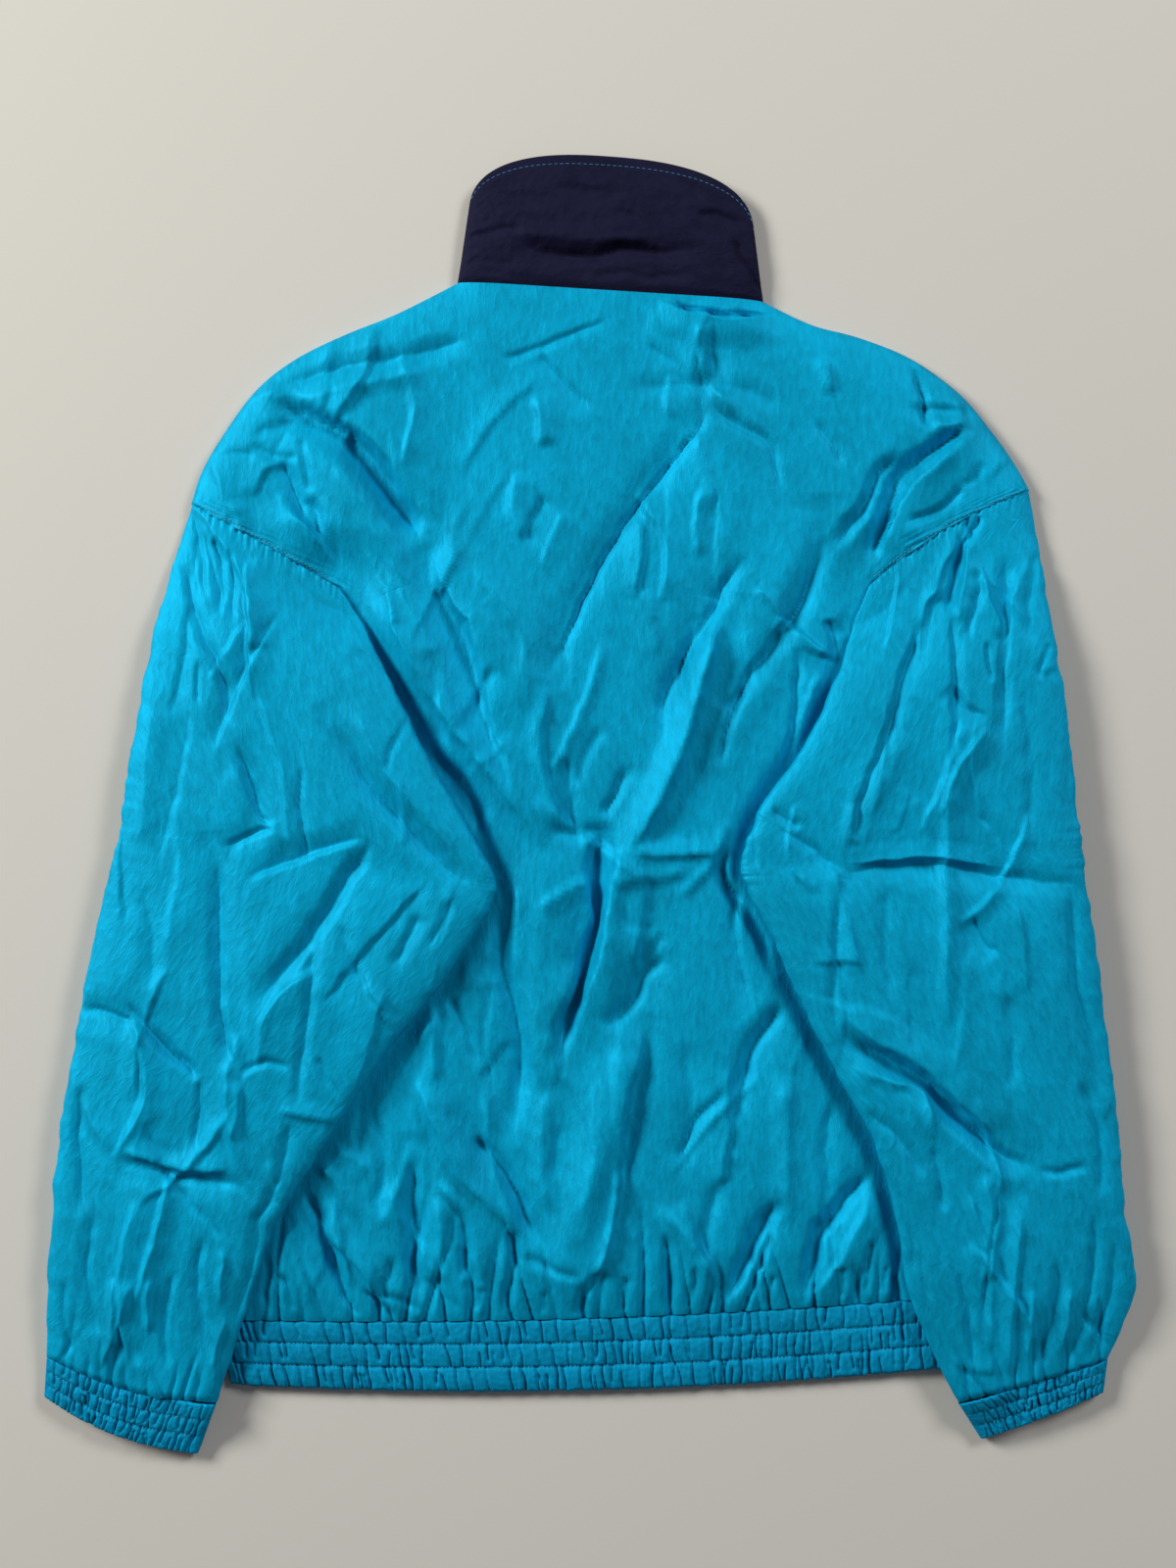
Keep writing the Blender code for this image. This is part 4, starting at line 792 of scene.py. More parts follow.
def crinkleGroup():  # fine creases of the cloth as a height, and a mask of painted sheen streaks and random tone blotches for its colour
    group = bpy.data.node_groups.new("crinkle", "ShaderNodeTree")
    group.interface.new_socket("Place", in_out="INPUT", socket_type="NodeSocketVector")
    for name in ("Height", "SheenAndTone"):
        group.interface.new_socket(name, in_out="OUTPUT", socket_type="NodeSocketFloat")
    start, end = group.nodes.new("NodeGroupInput"), group.nodes.new("NodeGroupOutput")
    layers = []
    for size, detail, distortion in crinkleMake["layers"]:
        scale = addNode(group, "Mapping", {"Vector": start.outputs["Place"], "Scale": size})
        cloud = addNode(group, "TexNoise", {"Vector": scale.outputs["Vector"], "Scale": 1.0})
        setInputs(group, cloud, {"Detail": detail, "Distortion": distortion})
        layers.append(cloud.outputs["Fac"])

    def result(operation, first, second):
        node = addNode(group, "Math", {0: first, 1: second})
        node.operation = operation
        return node.outputs[0]

    height = result("MULTIPLY", layers[2], crinkleMake["threads"])
    for layer, share in zip(layers, crinkleMake["creases"]):
        sharp = result("ABSOLUTE", result("SUBTRACT", layer, 0.5), 0.0)
        height = result("SUBTRACT", height, result("MULTIPLY", sharp, share))
    # the colour mask: streaks of painted sheen from the second layer, mixed with random tone blotches from
    # the last
    sheenAndTone = addNode(group, "Mix", {"Factor": crinkleMake["blotches"], "A": layers[1], "B": layers[3]})
    setInputs(group, end, {"Height": height, "SheenAndTone": sheenAndTone.outputs["Result"]})
    return group


crinkle = crinkleGroup()


def plainMaterial(name):
    material = bpy.data.materials.new(name)
    material.use_nodes = True
    shader = material.node_tree.nodes["Principled BSDF"]
    values = {"Base Color": (*look[name]["colour"], 1.0), "Roughness": look[name]["roughness"]}
    setInputs(material.node_tree, shader, values)
    return material, material.node_tree, shader


def clothMaterial(name):
    values = look[name]
    material, tree, shader = plainMaterial(name)
    grain = addNode(tree, "UVMap")
    grain.uv_map = "grain"
    fine = addNode(tree, "Group")
    fine.node_tree = crinkle
    setInputs(tree, fine, {"Place": grain.outputs["UV"]})
    bump = addNode(tree, "Bump", {"Height": fine.outputs["Height"], "Strength": 1.0})
    setInputs(tree, bump, {"Distance": values["bump"] * mm})
    # the cloth's colour goes darker and lighter along painted sheen streaks, and with random tone
    tone = addNode(tree, "ValToRGB", {"Fac": fine.outputs["SheenAndTone"]})
    for element, (position, share) in zip(tone.color_ramp.elements, crinkleMake["tones"]):
        element.position = position
        element.color = (*[min(1.0, share * c) for c in values["colour"]], 1.0)
    low, high = (values["roughness"] + k for k in crinkleMake["uneven"])
    rough = addNode(tree, "MapRange", {"Value": fine.outputs["SheenAndTone"], "To Min": low, "To Max": high})
    setInputs(tree, shader, {
        "Specular IOR Level": values["specular"],
        "Metallic": values["shine"],  # nylon threads shine in their own colour
        "Base Color": tone.outputs["Color"],
        "Roughness": rough.outputs["Result"],
        "Normal": bump.outputs["Normal"],
    })
    return material


def grainOf(tree, scale):  # noise that is fixed to the piece
    place = addNode(tree, "TexCoord")
    return addNode(tree, "TexNoise", {"Vector": place.outputs["Object"], "Scale": scale}).outputs["Fac"]


def metalMaterial(name):
    material, tree, shader = plainMaterial(name)
    wear = addNode(tree, "MapRange", {"Value": grainOf(tree, 900.0), "To Min": 0.24, "To Max": 0.45})
    setInputs(tree, shader, {"Metallic": 1.0, "Roughness": wear.outputs["Result"]})
    return material


def threadMaterial(name):
    material, tree, shader = plainMaterial(name)
    twist = addNode(tree, "Bump", {"Height": grainOf(tree, 2500.0), "Distance": 0.0001})
    setInputs(tree, shader, {"Normal": twist.outputs["Normal"]})
    return material


makers = {
    clothMaterial: ("shell", "band", "navy", "tape"),
    metalMaterial: ("metal",),
    threadMaterial: ("tealThread", "blueThread", "teeth"),
}
materials = {name: maker(name) for maker, names in makers.items() for name in names}


def makeMesh(name, points, faces, lookName, uv=None):
    mesh = bpy.data.meshes.new(name)
    mesh.from_pydata((np.asarray(points) * mm).tolist(), [], faces)
    if uv is not None:
        layer = mesh.uv_layers.new(name="grain")
        layer.data.foreach_set("uv", np.asarray(uv, np.float32).ravel())
    mesh.shade_smooth()
    piece = bpy.data.objects.new(name, mesh)
    bpy.context.scene.collection.objects.link(piece)
    mesh.materials.append(materials[lookName])
    return piece


def clothPiece(name, grid, uv, lookName, closed=False, flip=False):
    # uv is in mm along the cloth, with one more column than the grid where the grid is a closed tube
    rows, columns = grid.shape[:2]
    across = columns if closed else columns - 1
    r, c = np.meshgrid(np.arange(rows - 1), np.arange(across), indexing="ij")
    corners = [(r, c), (r + 1, c), (r + 1, c + 1), (r, c + 1)]
    if flip:
        corners = corners[::-1]
    faces = np.stack([i * columns + j % columns for i, j in corners], axis=-1).reshape(-1, 4)
    places = np.stack([uv[i, j] for i, j in corners], axis=2).reshape(-1, 2)
    return makeMesh(name, grid.reshape(-1, 3), faces.tolist(), lookName, places * mm)


def barFaces(base, rings, count, flip=False):  # the skin of a bar of rings with this many points each
    faces = []
    for first in range(base, base + count * (rings - 1), count):
        for c in range(count):
            a, b = first + c, first + (c + 1) % count
            faces.append((a, b, b + count, a + count))
    end = base + count * (rings - 1)
    faces += [tuple(range(base, base + count))[::-1], tuple(range(end, end + count))]
    return [face[::-1] for face in faces] if flip else faces


def runAcross(grid):  # the length along each row of a grid
    return np.cumsum(np.linalg.norm(np.diff(grid, axis=1, prepend=grid[:, :1]), axis=-1), axis=1)


def clothUv(across, down):
    return np.dstack(np.broadcast_arrays(across, down[:, None]))


def withRims(surface, steps, settle):  # a rim down each side of a surface: how far out, and how low
    rims = []
    for column, turn in ((0, -1), (-1, 1)):
        for out, depth in steps:
            rim = surface[:, column] + [turn * out, 0, 0]
            rim[:, 2] = settle(rim[:, 2], depth)
            rims.append(rim[:, None])
    count = len(steps)
    return np.concatenate([*rims[:count][::-1], surface, *rims[count:]], axis=1)


def finishCloth(piece, node):
    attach(piece, "jacket")
    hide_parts(node)


troughMake = {
    "width": (2.4, 5.0),
    "slant": 0.22,
    "bow": 1.5,
    "fade": 0.65,  # the share of its length over which it fades out
    "sharpness": 1.4,
}

puckerMake = {
    "pitch": 4.2,
    "shift": 0.35,  # how far one may stand from its place, as a share of the pitch
    "depth": (0.6, 1.5),
    "width": 1.7,
    "slant": 0.5,
}


def onSeam(seam, lengths, s):  # the point at a length along a seam, and the seam's way there
    root = pointAt(seam, lengths, s)
    k = int(np.clip(np.searchsorted(lengths, s), 1, len(seam) - 1))
    return root, unit(seam[k] - seam[k - 1])


def gathersAbove(points, seam, pitch, reach, depth, seed):
    # soft troughs that run up from a gathered seam, unevenly spaced; seam is a line of points
    draw = np.random.default_rng(seed)
    lengths = runAlong(seam)
    total = np.zeros(points.shape[:-1])
    s = draw.uniform(*pitch)
    while s < lengths[-1]:
        root, along = onSeam(seam, lengths, s)
        up = leftOf(along) * np.sign(along[0])
        length = draw.uniform(*reach)
        tip = root + length * (up + along * draw.normal(0, troughMake["slant"]))
        middle = (root + tip) / 2 + along * draw.normal(0, troughMake["bow"])
        line = curve([root - 4 * up, middle, tip], 7)
        width, deep = draw.uniform(*troughMake["width"]), draw.uniform(*depth)
        near = around(points, line, width + 1)
        if near.any():
            distance, place, _ = nearestOn(points[near], line)
            taper = ease(0, troughMake["fade"], 1 - place)
            total[near] -= deep * taper * np.clip(1 - distance / width, 0, 1) ** troughMake["sharpness"]
        s += draw.uniform(*pitch)
    return total


def puckers(points, seam, reach, seed):  # short creases on both sides of a sewn seam
    draw = np.random.default_rng(seed)
    lengths = runAlong(seam)
    pitch, shift, width = puckerMake["pitch"], puckerMake["shift"], puckerMake["width"]
    total = np.zeros(points.shape[:-1])
    for s in np.arange(pitch, lengths[-1], pitch):
        s += draw.uniform(-shift, shift) * pitch
        root, along = onSeam(seam, lengths, s)
        length = draw.uniform(*reach)
        for turn in (-1, 1):
            tip = root + length * (turn * leftOf(along) + puckerMake["slant"] * along)
            line = np.array([root, tip])
            near = around(points, line, width + 0.5)
            if near.any():
                distance, place, _ = nearestOn(points[near], line)
                deep = draw.uniform(*puckerMake["depth"])
                total[near] -= deep * (1 - place) * np.clip(1 - distance / width, 0, 1)
    return total


print("stage: back")


def makeBack():
    rows = backPanel["rows"]
    edges = bodyEdges(rows)
    last = len(edges) - 1
    sag = outline["waistSag"] * ease(last - backPanel["sagRows"], last, np.arange(last + 1))
    s = even(backPanel["columns"], 0.25)
    place = np.array([seamLine(edge, sag[i], s) for i, edge in enumerate(edges)])
    waist = waistLine(np.linspace(0, 1, 40))
    neckDistance = nearestOn(place, place[0, ::6])[0]
    detail = broadFolds(place, backPanel["folds"], backPanel["foldShare"])
    creases, lean = creaseShape(place, backPanel["creases"], 41)
    detail += creases + backPanel["crumple"] * crumple(place, 7)
    height = backHeight(place, detail)
    height += gathersAbove(place, waist, **backPanel["gathers"], seed=5)
    height += creaseShape(place, backPanel["neckFold"], 43)[0] * ease(0, 4, neckDistance)
    for sleeve, seed in ((leftSleeve, 61), (rightSleeve, 62)):
        height += puckers(place, sewnLine(sleeve), backPanel["puckers"], seed)
    height = np.maximum(height, backPanel["least"])
    free = np.ones(len(height), bool)
    free[rows["shoulder"] + 2 : rows["shoulder"] + rows["armhole"]] = False  # those are sewn to the sleeves
    height[free, 0] = height[free, -1] = lie["rim"] - 0.4
    keep = ease(0, 8, nearestOn(place, waist)[0]) * ease(0, 6, neckDistance)
    column = np.arange(place.shape[1])
    keep *= ease(0, 10, np.minimum(column, column[::-1]))[None, :]
    surface = np.dstack([place + lean * keep[..., None], height])
    return withRims(surface, backPanel["wrap"], np.subtract), surface


backGrid, backSurface = makeBack()
back = clothPiece("back_panel", backGrid, backGrid[..., :2], "shell")
finishCloth(back, "back")


print("stage: sleeves")

sleeveMake = {
    "rings": 330,
    "upper": 188,
    "lower": 44,
    "crowd": 0.45,
    "headFade": 3.5,
    "topFade": 2.5,
    "foldShare": 0.7,
    "crumple": 1.1,
    "puckers": (5, 11),
    "gathers": ((5, 13), (14, 55), (1.4, 3.6)),  # pitch, reach and depth above the cuff
    "drops": (0.3, 2.2),  # how far the cloth dips at the armhole and at the cuff
    "allowance": (2.0, 1.2),  # the seam's width and height inside the tube
}
lastSection = len(sleeveHeights) - 1


def sleevePlaces(sleeve, f, a, isUpper):
    section = smoothRows(np.hstack([sleeve["sections"], sleeveHeights]), f)
    start, end = section[:, None, :2], section[:, None, 2:4]
    chord = end - start
    side = upOff(chord)
    a = a[None, :, None]
    bow = sleeve["cuffBow"] * ease(lastSection - 2, lastSection, f)[:, None, None] * np.sin(np.pi * a)
    place = start + chord * a + side * bow
    left = np.maximum(0, 1 - f / sleeveMake["headFade"])[:, None, None]
    if isUpper:
        place = place + side * sleeve["headBow"] * left * np.sin(np.pi * a)
    else:
        column = sides[sleeve["side"]][0]
        underarm = np.array(outline["side"][0][column : column + 2])
        between = np.reshape(sleeve["sections"][0], (2, 2)).sum(axis=0) / 2
        place = place + (underarm - between) * left * (1 - np.abs(2 * a - 1))
    # the side folds aren't quite smooth
    wave = f * 40
    fromHead, fromCuff = ease(0, 1.2, f), ease(0, 1.2, lastSection - f)
    for edge, seed in ((1 - a[..., 0], sleeve["seed"] + 1), (a[..., 0], sleeve["seed"] + 2)):
        uneven = 1.2 * noise(wave / 14, wave * 0 + 0.5, seed) * fromHead * fromCuff
        uneven += 0.5 * noise(wave / 6, wave * 0 + 1.5, seed) * fromHead
        place = place + unit(chord) * (uneven[:, None] * edge**3)[..., None]
    return place, section


def makeSleeve(sleeve):
    f = np.linspace(0, lastSection, sleeveMake["rings"])
    seed = sleeve["seed"]
    halves = []
    for count, isUpper, power in ((sleeveMake["upper"], True, 3.0), (sleeveMake["lower"], False, 6.0)):
        a = even(count, sleeveMake["crowd"])
        a = a if isUpper else a[::-1][1:-1]
        place, section = sleevePlaces(sleeve, f, a, isUpper)
        folds = broadFolds(place, sleeve["folds"], sleeveMake["foldShare"] if isUpper else 1.0)
        own = blend(section[:, None, 4], section[:, None, 5], a[None, :]) + folds
        seamHeight = backHeight(armholeSeam(sleeve, a))
        low = sleeveLow(place)
        top = blend(seamHeight[None, :], own, ease(0, sleeveMake["topFade"], f)[:, None])
        top = np.maximum(top, low + lie["sleeveLeast"])
        full = flatTube(a, power)[None, :]
        height = tubeHeight(low, top, full, isUpper)
        if isUpper:
            detail, lean = creaseShape(place, sleeve["creases"], seed)
            detail += sleeveMake["crumple"] * crumple(place, seed + 30)
            cuffLine = place[-1, ::6]
            cuffLine = cuffLine if cuffLine[0, 0] < cuffLine[-1, 0] else cuffLine[::-1]
            detail += gathersAbove(place, cuffLine, *sleeveMake["gathers"], seed + 9)
            detail += puckers(place, sewnLine(sleeve), sleeveMake["puckers"], seed + 5)
            rounded = flatTube(a, 2.0)[None, :]
            height += detail * rounded**0.8
            height = np.maximum(height, low + 2.0)
            head, cuff = sleeveMake["drops"]
            drop = head * (1 - ease(0, 0.06, f)) + cuff * ease(lastSection - 0.1, lastSection, f)
            height -= drop[:, None] * full
            inside = (ease(0, 0.4, f) * ease(0, 0.4, lastSection - f))[:, None] * rounded**2
            place = place + lean * inside[..., None]
        halves.append(np.dstack([place, height]))
    # the tube is sewn along the middle of its underside, with a narrow seam allowance inside
    grid = np.roll(np.concatenate(halves, axis=1), sleeveMake["lower"] // 2, axis=1)
    ahead = unit(grid[:, 1] - grid[:, 0])
    wide, high = sleeveMake["allowance"]
    up = np.array([0, 0, high])
    first, last = grid[:, 0], grid[:, 0] - 0.1 * ahead
    before = np.stack([first + wide * ahead + 1.2 * up, first + up], axis=1)
    after = np.stack([last, last + up, last - wide * ahead + 1.2 * up], axis=1)
    grid = np.concatenate([before, grid, after], axis=1)
    middle = grid.shape[1] // 2
    u = runAcross(grid)
    return grid, clothUv(u - u[:, middle][:, None], runAlong(grid[:, middle]))


for sleeve in (leftSleeve, rightSleeve):
    name = sleeve["side"]
    piece = clothPiece("sleeve_cloth_" + name, *makeSleeve(sleeve), "shell", flip=name == "right")
    finishCloth(piece, "sleeve_" + name)


print("stage: gathered bands")

gathers = {
    "rows": 3,
    "pitch": (3.2, 11.0),  # between pleats
    "width": (0.9, 1.8),  # half of one
    "depth": (1.8, 3.4),
    "slant": 1.1,
    "whole": 0.6,  # the share of pleats that cross their row
    "carried": 0.5,  # the share of those that go on in the next row
    "wide": (0.15, 1.6),  # the share of wider gaps, and how much wider
    "puff": 1.3,
    "groove": 0.5,
}


def gatherHeight(x, v, span, pitch, seed):
    # x in mm along the band and v from 0 to 1 down it: pleats in each row between the lines of stitches
    x, v = np.broadcast_arrays(x, v)
    draw = np.random.default_rng(seed)
    rows = gathers["rows"]
    row = np.minimum((v * rows).astype(int), rows - 1)
    w = np.where(v >= 1, 1.0, v * rows % 1.0)
    total = gathers["puff"] * np.clip(np.sin(np.pi * w), 0, 1) ** 0.55
    carried = []
    for r in range(rows):
        mine = row == r
        xs, wr = x[mine], w[mine]
        places, s = list(carried), draw.uniform(*pitch) / 2
        while s < span:
            places.append(s)
            s += draw.uniform(*pitch) * (gathers["wide"][1] if draw.random() < gathers["wide"][0] else 1.0)
        carried, height = [], np.zeros_like(xs)
        for s in sorted(places):
            slant, width = draw.normal(0, gathers["slant"]), draw.uniform(*gathers["width"])
            deep = draw.uniform(*gathers["depth"]) * (0.6 + 0.4 * draw.random())
            start, end = 0, 1
            if draw.random() >= gathers["whole"]:
                start, end = (0, 0.62) if draw.random() < 0.5 else (0.38, 1)
            middle = s + slant * (wr - 0.5) + 0.4 * np.sin(5 * wr + s)
            along = ease(start - 0.2, start + 0.05, wr) * (1 - ease(end - 0.05, end + 0.2, wr))
            height -= deep * along * np.clip(1 - np.abs(xs - middle) / width, 0, 1) ** 1.2
            if end == 1 and draw.random() < gathers["carried"]:
                carried.append(s + slant * 0.5)
        total[mine] += height
    total += 0.25 * noise(x / 3.1, v * 14, seed) + 0.35 * noise(x / 7, v * 5, seed + 1)
    nearLine = np.minimum(np.abs(w), np.abs(1 - w))
    inside = (v > 0.5 / rows) & (v < 1 - 0.5 / rows)
    total -= np.where(inside, gathers["groove"] * np.clip(1 - nearLine / 0.07, 0, 1), 0)
    ripple = 0.35 * np.sin(2 * np.pi * x / 2.3 + 2 * noise(x / 9, v, seed + 4))
    return total + ripple * np.clip(1 - nearLine / 0.16, 0, 1)


waistband = {
    "rows": 52,
    "columns": 560,
    "high": (4.7, 6.4),  # at its ends and between them
    "endFade": 14.0,
    "least": 2.6,
    "hem": [(-0.9, 1.0, 2.2), (-1.1, 2.4, 1.2), (-0.8, 4.2, 0.4)],  # how far down, how much lower, at least
    "ends": [(0.6, 3.6), (0.8, 2.0), (0.5, 0.5)],  # how far out, and at most how high
}


def makeWaistband():
    s, v = np.linspace(0, 1, waistband["columns"]), np.linspace(0, 1, waistband["rows"])
    start, end = waistLine(s) - np.array([0, 0.3]), hemLine(s)
    span = outline["hem"][2] - outline["hem"][0]
    place = np.array([blend(start, end, k) for k in v])
    place[..., 1] += (v[:, None] ** 3) * 0.7 * noise(s[None, :] * span / 6, s[None, :] * 0, 77)
    fromEnd = np.minimum(s, 1 - s) * span
    plain = blend(*waistband["high"], ease(0, waistband["endFade"], fromEnd))
    raised = gatherHeight(s * span, v[:, None], span, gathers["pitch"], 15)
    height = plain[None, :] + raised * ease(0, 6, fromEnd)[None, :]
    height = np.maximum(height, waistband["least"])
    height[-1] -= 0.6
    height[0] -= 1.6
    surface = np.dstack([place, height])
    below = []
    for down, lower, least in waistband["hem"]:
        row = surface[-1] + [0, down, -lower]
        row[:, 2] = np.maximum(row[:, 2], least)
        below.append(row)
    surface = np.concatenate([surface, below])
    return withRims(surface, waistband["ends"], np.minimum), surface


bandGrid, bandSurface = makeWaistband()
band = clothPiece("waistband_cloth", bandGrid, bandGrid[..., :2], "band")
finishCloth(band, "waistband_back")


cuffMake = {
    "rows": 44,
    "upper": 200,
    "lower": 40,
    "high": (11.3, 9.8),  # above what it lies on, at the sleeve and at its end
    "pitch": (2.4, 6.5),
    "wall": 1.0,
    "turnedIn": range(2, 26, 3),  # the rows that its lining follows, counted from its end
}


def turnedIn(grid, flip):  # the last row of a cuff, folded over and back inside
    normal = unit(np.cross(np.gradient(grid, axis=0), np.gradient(grid, axis=1)))
    wall = -cuffMake["wall"] if flip else cuffMake["wall"]
    over = grid[-1] + 0.5 * cuffMake["wall"] * unit(grid[-1] - grid[-2]) - 0.5 * wall * normal[-1]
    inside = [grid[-k] - wall * normal[-k] for k in (1, *cuffMake["turnedIn"])]
    return np.concatenate([grid, [over], inside])


def makeCuff(sleeve):
    seam = np.reshape(sleeve["sections"][-1], (2, 2)) + [0, -0.3]
    v = np.linspace(0, 1, cuffMake["rows"])[:, None]
    start, end = (blend(seam[k][None], np.array(sleeve["cuffEnd"][k])[None], v) for k in (0, 1))
    chord = (end - start)[:, None]
    span = np.linalg.norm(chord[0, 0])
    across = np.linspace(0, 1, cuffMake["upper"]), even(cuffMake["lower"], 0.6)[::-1][1:-1]
    halves = []
    for a, isUpper, power in ((across[0], True, 3.0), (across[1], False, 6.0)):
        along = a[None, :, None]
        place = start[:, None] + chord * along + upOff(chord) * sleeve["cuffBow"] * np.sin(np.pi * along)
        low = sleeveLow(place)
        full = flatTube(a, power)[None, :]
        height = tubeHeight(low, low + blend(*cuffMake["high"], v), full, isUpper)
        if isUpper:
            raised = gatherHeight(a * span, v, span, cuffMake["pitch"], sleeve["seed"] + 3) - 0.5
            height += raised * flatTube(a, 2.0)[None, :]
            height[0] -= 1.4 * full[0]
        halves.append(np.dstack([place, height]))
    flip = sleeve["side"] == "right"
    grid = turnedIn(np.concatenate(halves, axis=1), flip)
    u = runAcross(np.concatenate([grid, grid[:, :1]], axis=1))
    return grid, clothUv(u, 0.8 * np.arange(len(grid))), flip


cuffGrids = {}
for sleeve in (leftSleeve, rightSleeve):
    name = sleeve["side"]
    cuffGrids[name], uv, flip = makeCuff(sleeve)
    piece = clothPiece("cuff_cloth_" + name, cuffGrids[name], uv, "band", closed=True, flip=flip)
    finishCloth(piece, "cuff_" + name)


print("stage: collar")


def collarPlace(level, a, isUpper):
    line = blend(np.array(level[:2]), np.array(level[2:4]), a[:, None])
    reach = level[4] * flatTube(a, collarPiece["corners"]) if isUpper else -level[5] * flatTube(a, 2.0)
    return line + np.column_stack([np.zeros_like(reach), reach])


def collarNeckline(side, level, count):
    share = (zipEdge(side) - level[0]) / (level[2] - level[0])
    k = 1 - np.cos(np.pi / 2 * np.linspace(0, 1, count))
    return k * share if side == "left" else 1 - k * (1 - share)


def makeCollar():
    base, top = np.array(collarPiece["base"]), np.array(collarPiece["top"])
    under, wall = collarPiece["under"], collarPiece["wall"]
    outer, inner = [], []
    for v in np.linspace(0, 1, collarPiece["rows"]):
        level = blend(base, top, v)
        runs = (
            (collarNeckline("left", level, under)[::-1], False),
            (even(collarPiece["upper"], 0.5)[1:-1], True),
            (collarNeckline("right", level, under), False),
        )
        rows = []
        for a, isUpper in runs:
            place = collarPlace(level, a, isUpper)
            place[:, 1] += 0.3 * (1 - v)
            middle = level[7] * level[6]
            full = flatTube(a, 3.0 if isUpper else 6.0)
            if isUpper:
                x, y = place[:, 0], place[:, 1]
                high = level[6] + collarPiece["crown"] * math.sin(math.pi * v)
                high = high + broadFolds(place, collarPiece["folds"], 0.6)
                detail = creaseShape(place, collarPiece["creases"], 91)[0] + 0.7 * noise(x / 28, y / 8, 93)
                detail += 0.35 * noise(x / 4.5, y / 3.2, 95)
                high = high + detail * ease(0, 0.12, v) * ease(-0.05, 0.2, 1 - v)
                reach = high - 1.6 * (1 - ease(0, 0.05, v)) - middle
            else:
                reach = collarLift(place) - middle
            thinner = wall if isUpper else -wall
            towards = np.column_stack([wall * (1 - 2 * a), np.zeros_like(a)])
            rows.append((
                np.column_stack([place, middle + reach * full]),
                np.column_stack([place + towards, middle + (reach - thinner) * full]),
            ))
        outer.append(np.vstack([pair[0] for pair in rows]))
        inner.append(np.vstack([pair[1] for pair in rows]))
    outer, inner = np.array(outer), np.array(inner)
    rise = unit(outer[-1] - outer[-2])
    rolled = [blend(outer[-1], inner[-1], k) + rise * lift for k, lift in collarPiece["roll"]]
    return np.concatenate([outer, np.array(rolled), inner[::-1][::2]]), outer


collarGrid, collarOuter = makeCollar()
collarUv = clothUv(runAcross(collarGrid), 0.9 * np.arange(len(collarGrid)))
collar = clothPiece("collar_cloth", collarGrid, collarUv[..., ::-1], "navy", flip=True)
finishCloth(collar, "collar")


print("stage: fronts, which lie beneath")

frontMake = {
    "rows": 150,
    "columns": 60,
    "top": -2.0,  # from the neck
    "low": -312.0,
    "sagRows": 90,
    "high": 0.75,
    "bandRows": 34,
    "bandColumns": 240,
    "bandHigh": 1.1,
    "least": 0.15,
}


def frontEdges(side, y):  # the zip edge or neckline, and the outer seam, at heights y
    column, turn = sides[side]
    outer = np.vstack([outline["shoulder"], outline["side"]])[:, column : column + 2]
    far = np.interp(-y, -outer[:, 1], outer[:, 0]) - turn * 1.2
    neck = collarPlace(collarPiece["base"], collarNeckline(side, collarPiece["base"], 40), False)
    near = np.interp(-y, -neck[:, 1], neck[:, 0])
    return np.where(y < neck[-1, 1], zipEdge(side), near), far


def makeFront(side):
    count = frontMake["rows"]
    y = np.linspace(collarPiece["base"][sides[side][0] + 1] + frontMake["top"], frontMake["low"], count)
    near, far = frontEdges(side, y)
    x = blend(near[:, None], far[:, None], np.linspace(0, 1, frontMake["columns"])[None, :])
    low = outline["side"][-1]
    ends = np.interp(x[-1], [low[0], low[2]], [low[1], low[3]])
    bow = outline["waistSag"] * (1 - ((x[-1] - low[0]) / (low[2] - low[0]) * 2 - 1) ** 2)
    share = ease(count - frontMake["sagRows"], count, np.arange(count))[:, None]
    place = np.dstack([x, y[:, None] + share * (ends + bow - frontMake["low"])[None, :]])
    rumple = np.clip(crumple(place, 51 if side == "left" else 52), -1, 1)
    return np.dstack([place, np.maximum(frontMake["high"] + 0.5 * rumple, frontMake["least"])])


def makeBandFront(side):
    edge = zipEdge(side)
    s = np.linspace(0, 1, 260)
    down = np.linspace(0, 1, frontMake["bandRows"])
    rows = []
    for k in down:
        line = blend(waistLine(s) - np.array([0, 0.3]), hemLine(s), k)
        kept = line[line[:, 0] < edge] if side == "left" else line[line[:, 0] > edge]
        at = np.linspace(0, len(kept) - 1, frontMake["bandColumns"])
        rows.append(np.column_stack([np.interp(at, np.arange(len(kept)), kept[:, i]) for i in (0, 1)]))
    grid = np.array(rows)
    x = np.abs(grid[..., 0] - edge)
    raised = gatherHeight(x, down[:, None], x.max(), gathers["pitch"], 71)
    return np.dstack([grid, np.clip(frontMake["bandHigh"] - 0.4 * raised, frontMake["least"], 1.9)])


for side in ("left", "right"):
    grid = makeFront(side)
    piece = clothPiece("front_cloth_" + side, grid, grid[..., :2], "shell", flip=side == "right")
    finishCloth(piece, "front_" + side)
    grid = makeBandFront(side)
    piece = clothPiece("waistband_front_cloth_" + side, grid, grid[..., :2], "band", flip=True)
    finishCloth(piece, "waistband_front_" + side)


print("stage: zip")

zipMake = {
    "low": -347.7,
    "high": 330.0,
    "parts": (312.0, 326.0),  # between these heights the two sides part
    "apart": (0.15, 2.6),  # how far a side stands off the middle, and how much more above
    "tape": 16.0,
    "rows": 330,
    "columns": 9,
    "pitch": 1.3,
    "tooth": (1.5, 0.42),  # how far a tooth reaches from its tape and how thick its wire is
    "loop": [(-1.1, 0.0), (0.2, -0.02), (0.75, 0.12), (0.75, 0.42), (0.2, 0.5), (-1.1, 0.5)],
}


def tapeUnder(y, lead=8.0):
    middle = np.column_stack([np.full_like(y, outline["zipX"]), y + lead])
    return lie["frontWall"] + 0.3 + collarLift(middle)


def zipParting(y):
    closed, more = zipMake["apart"]
    return closed + more * ease(*zipMake["parts"], y)


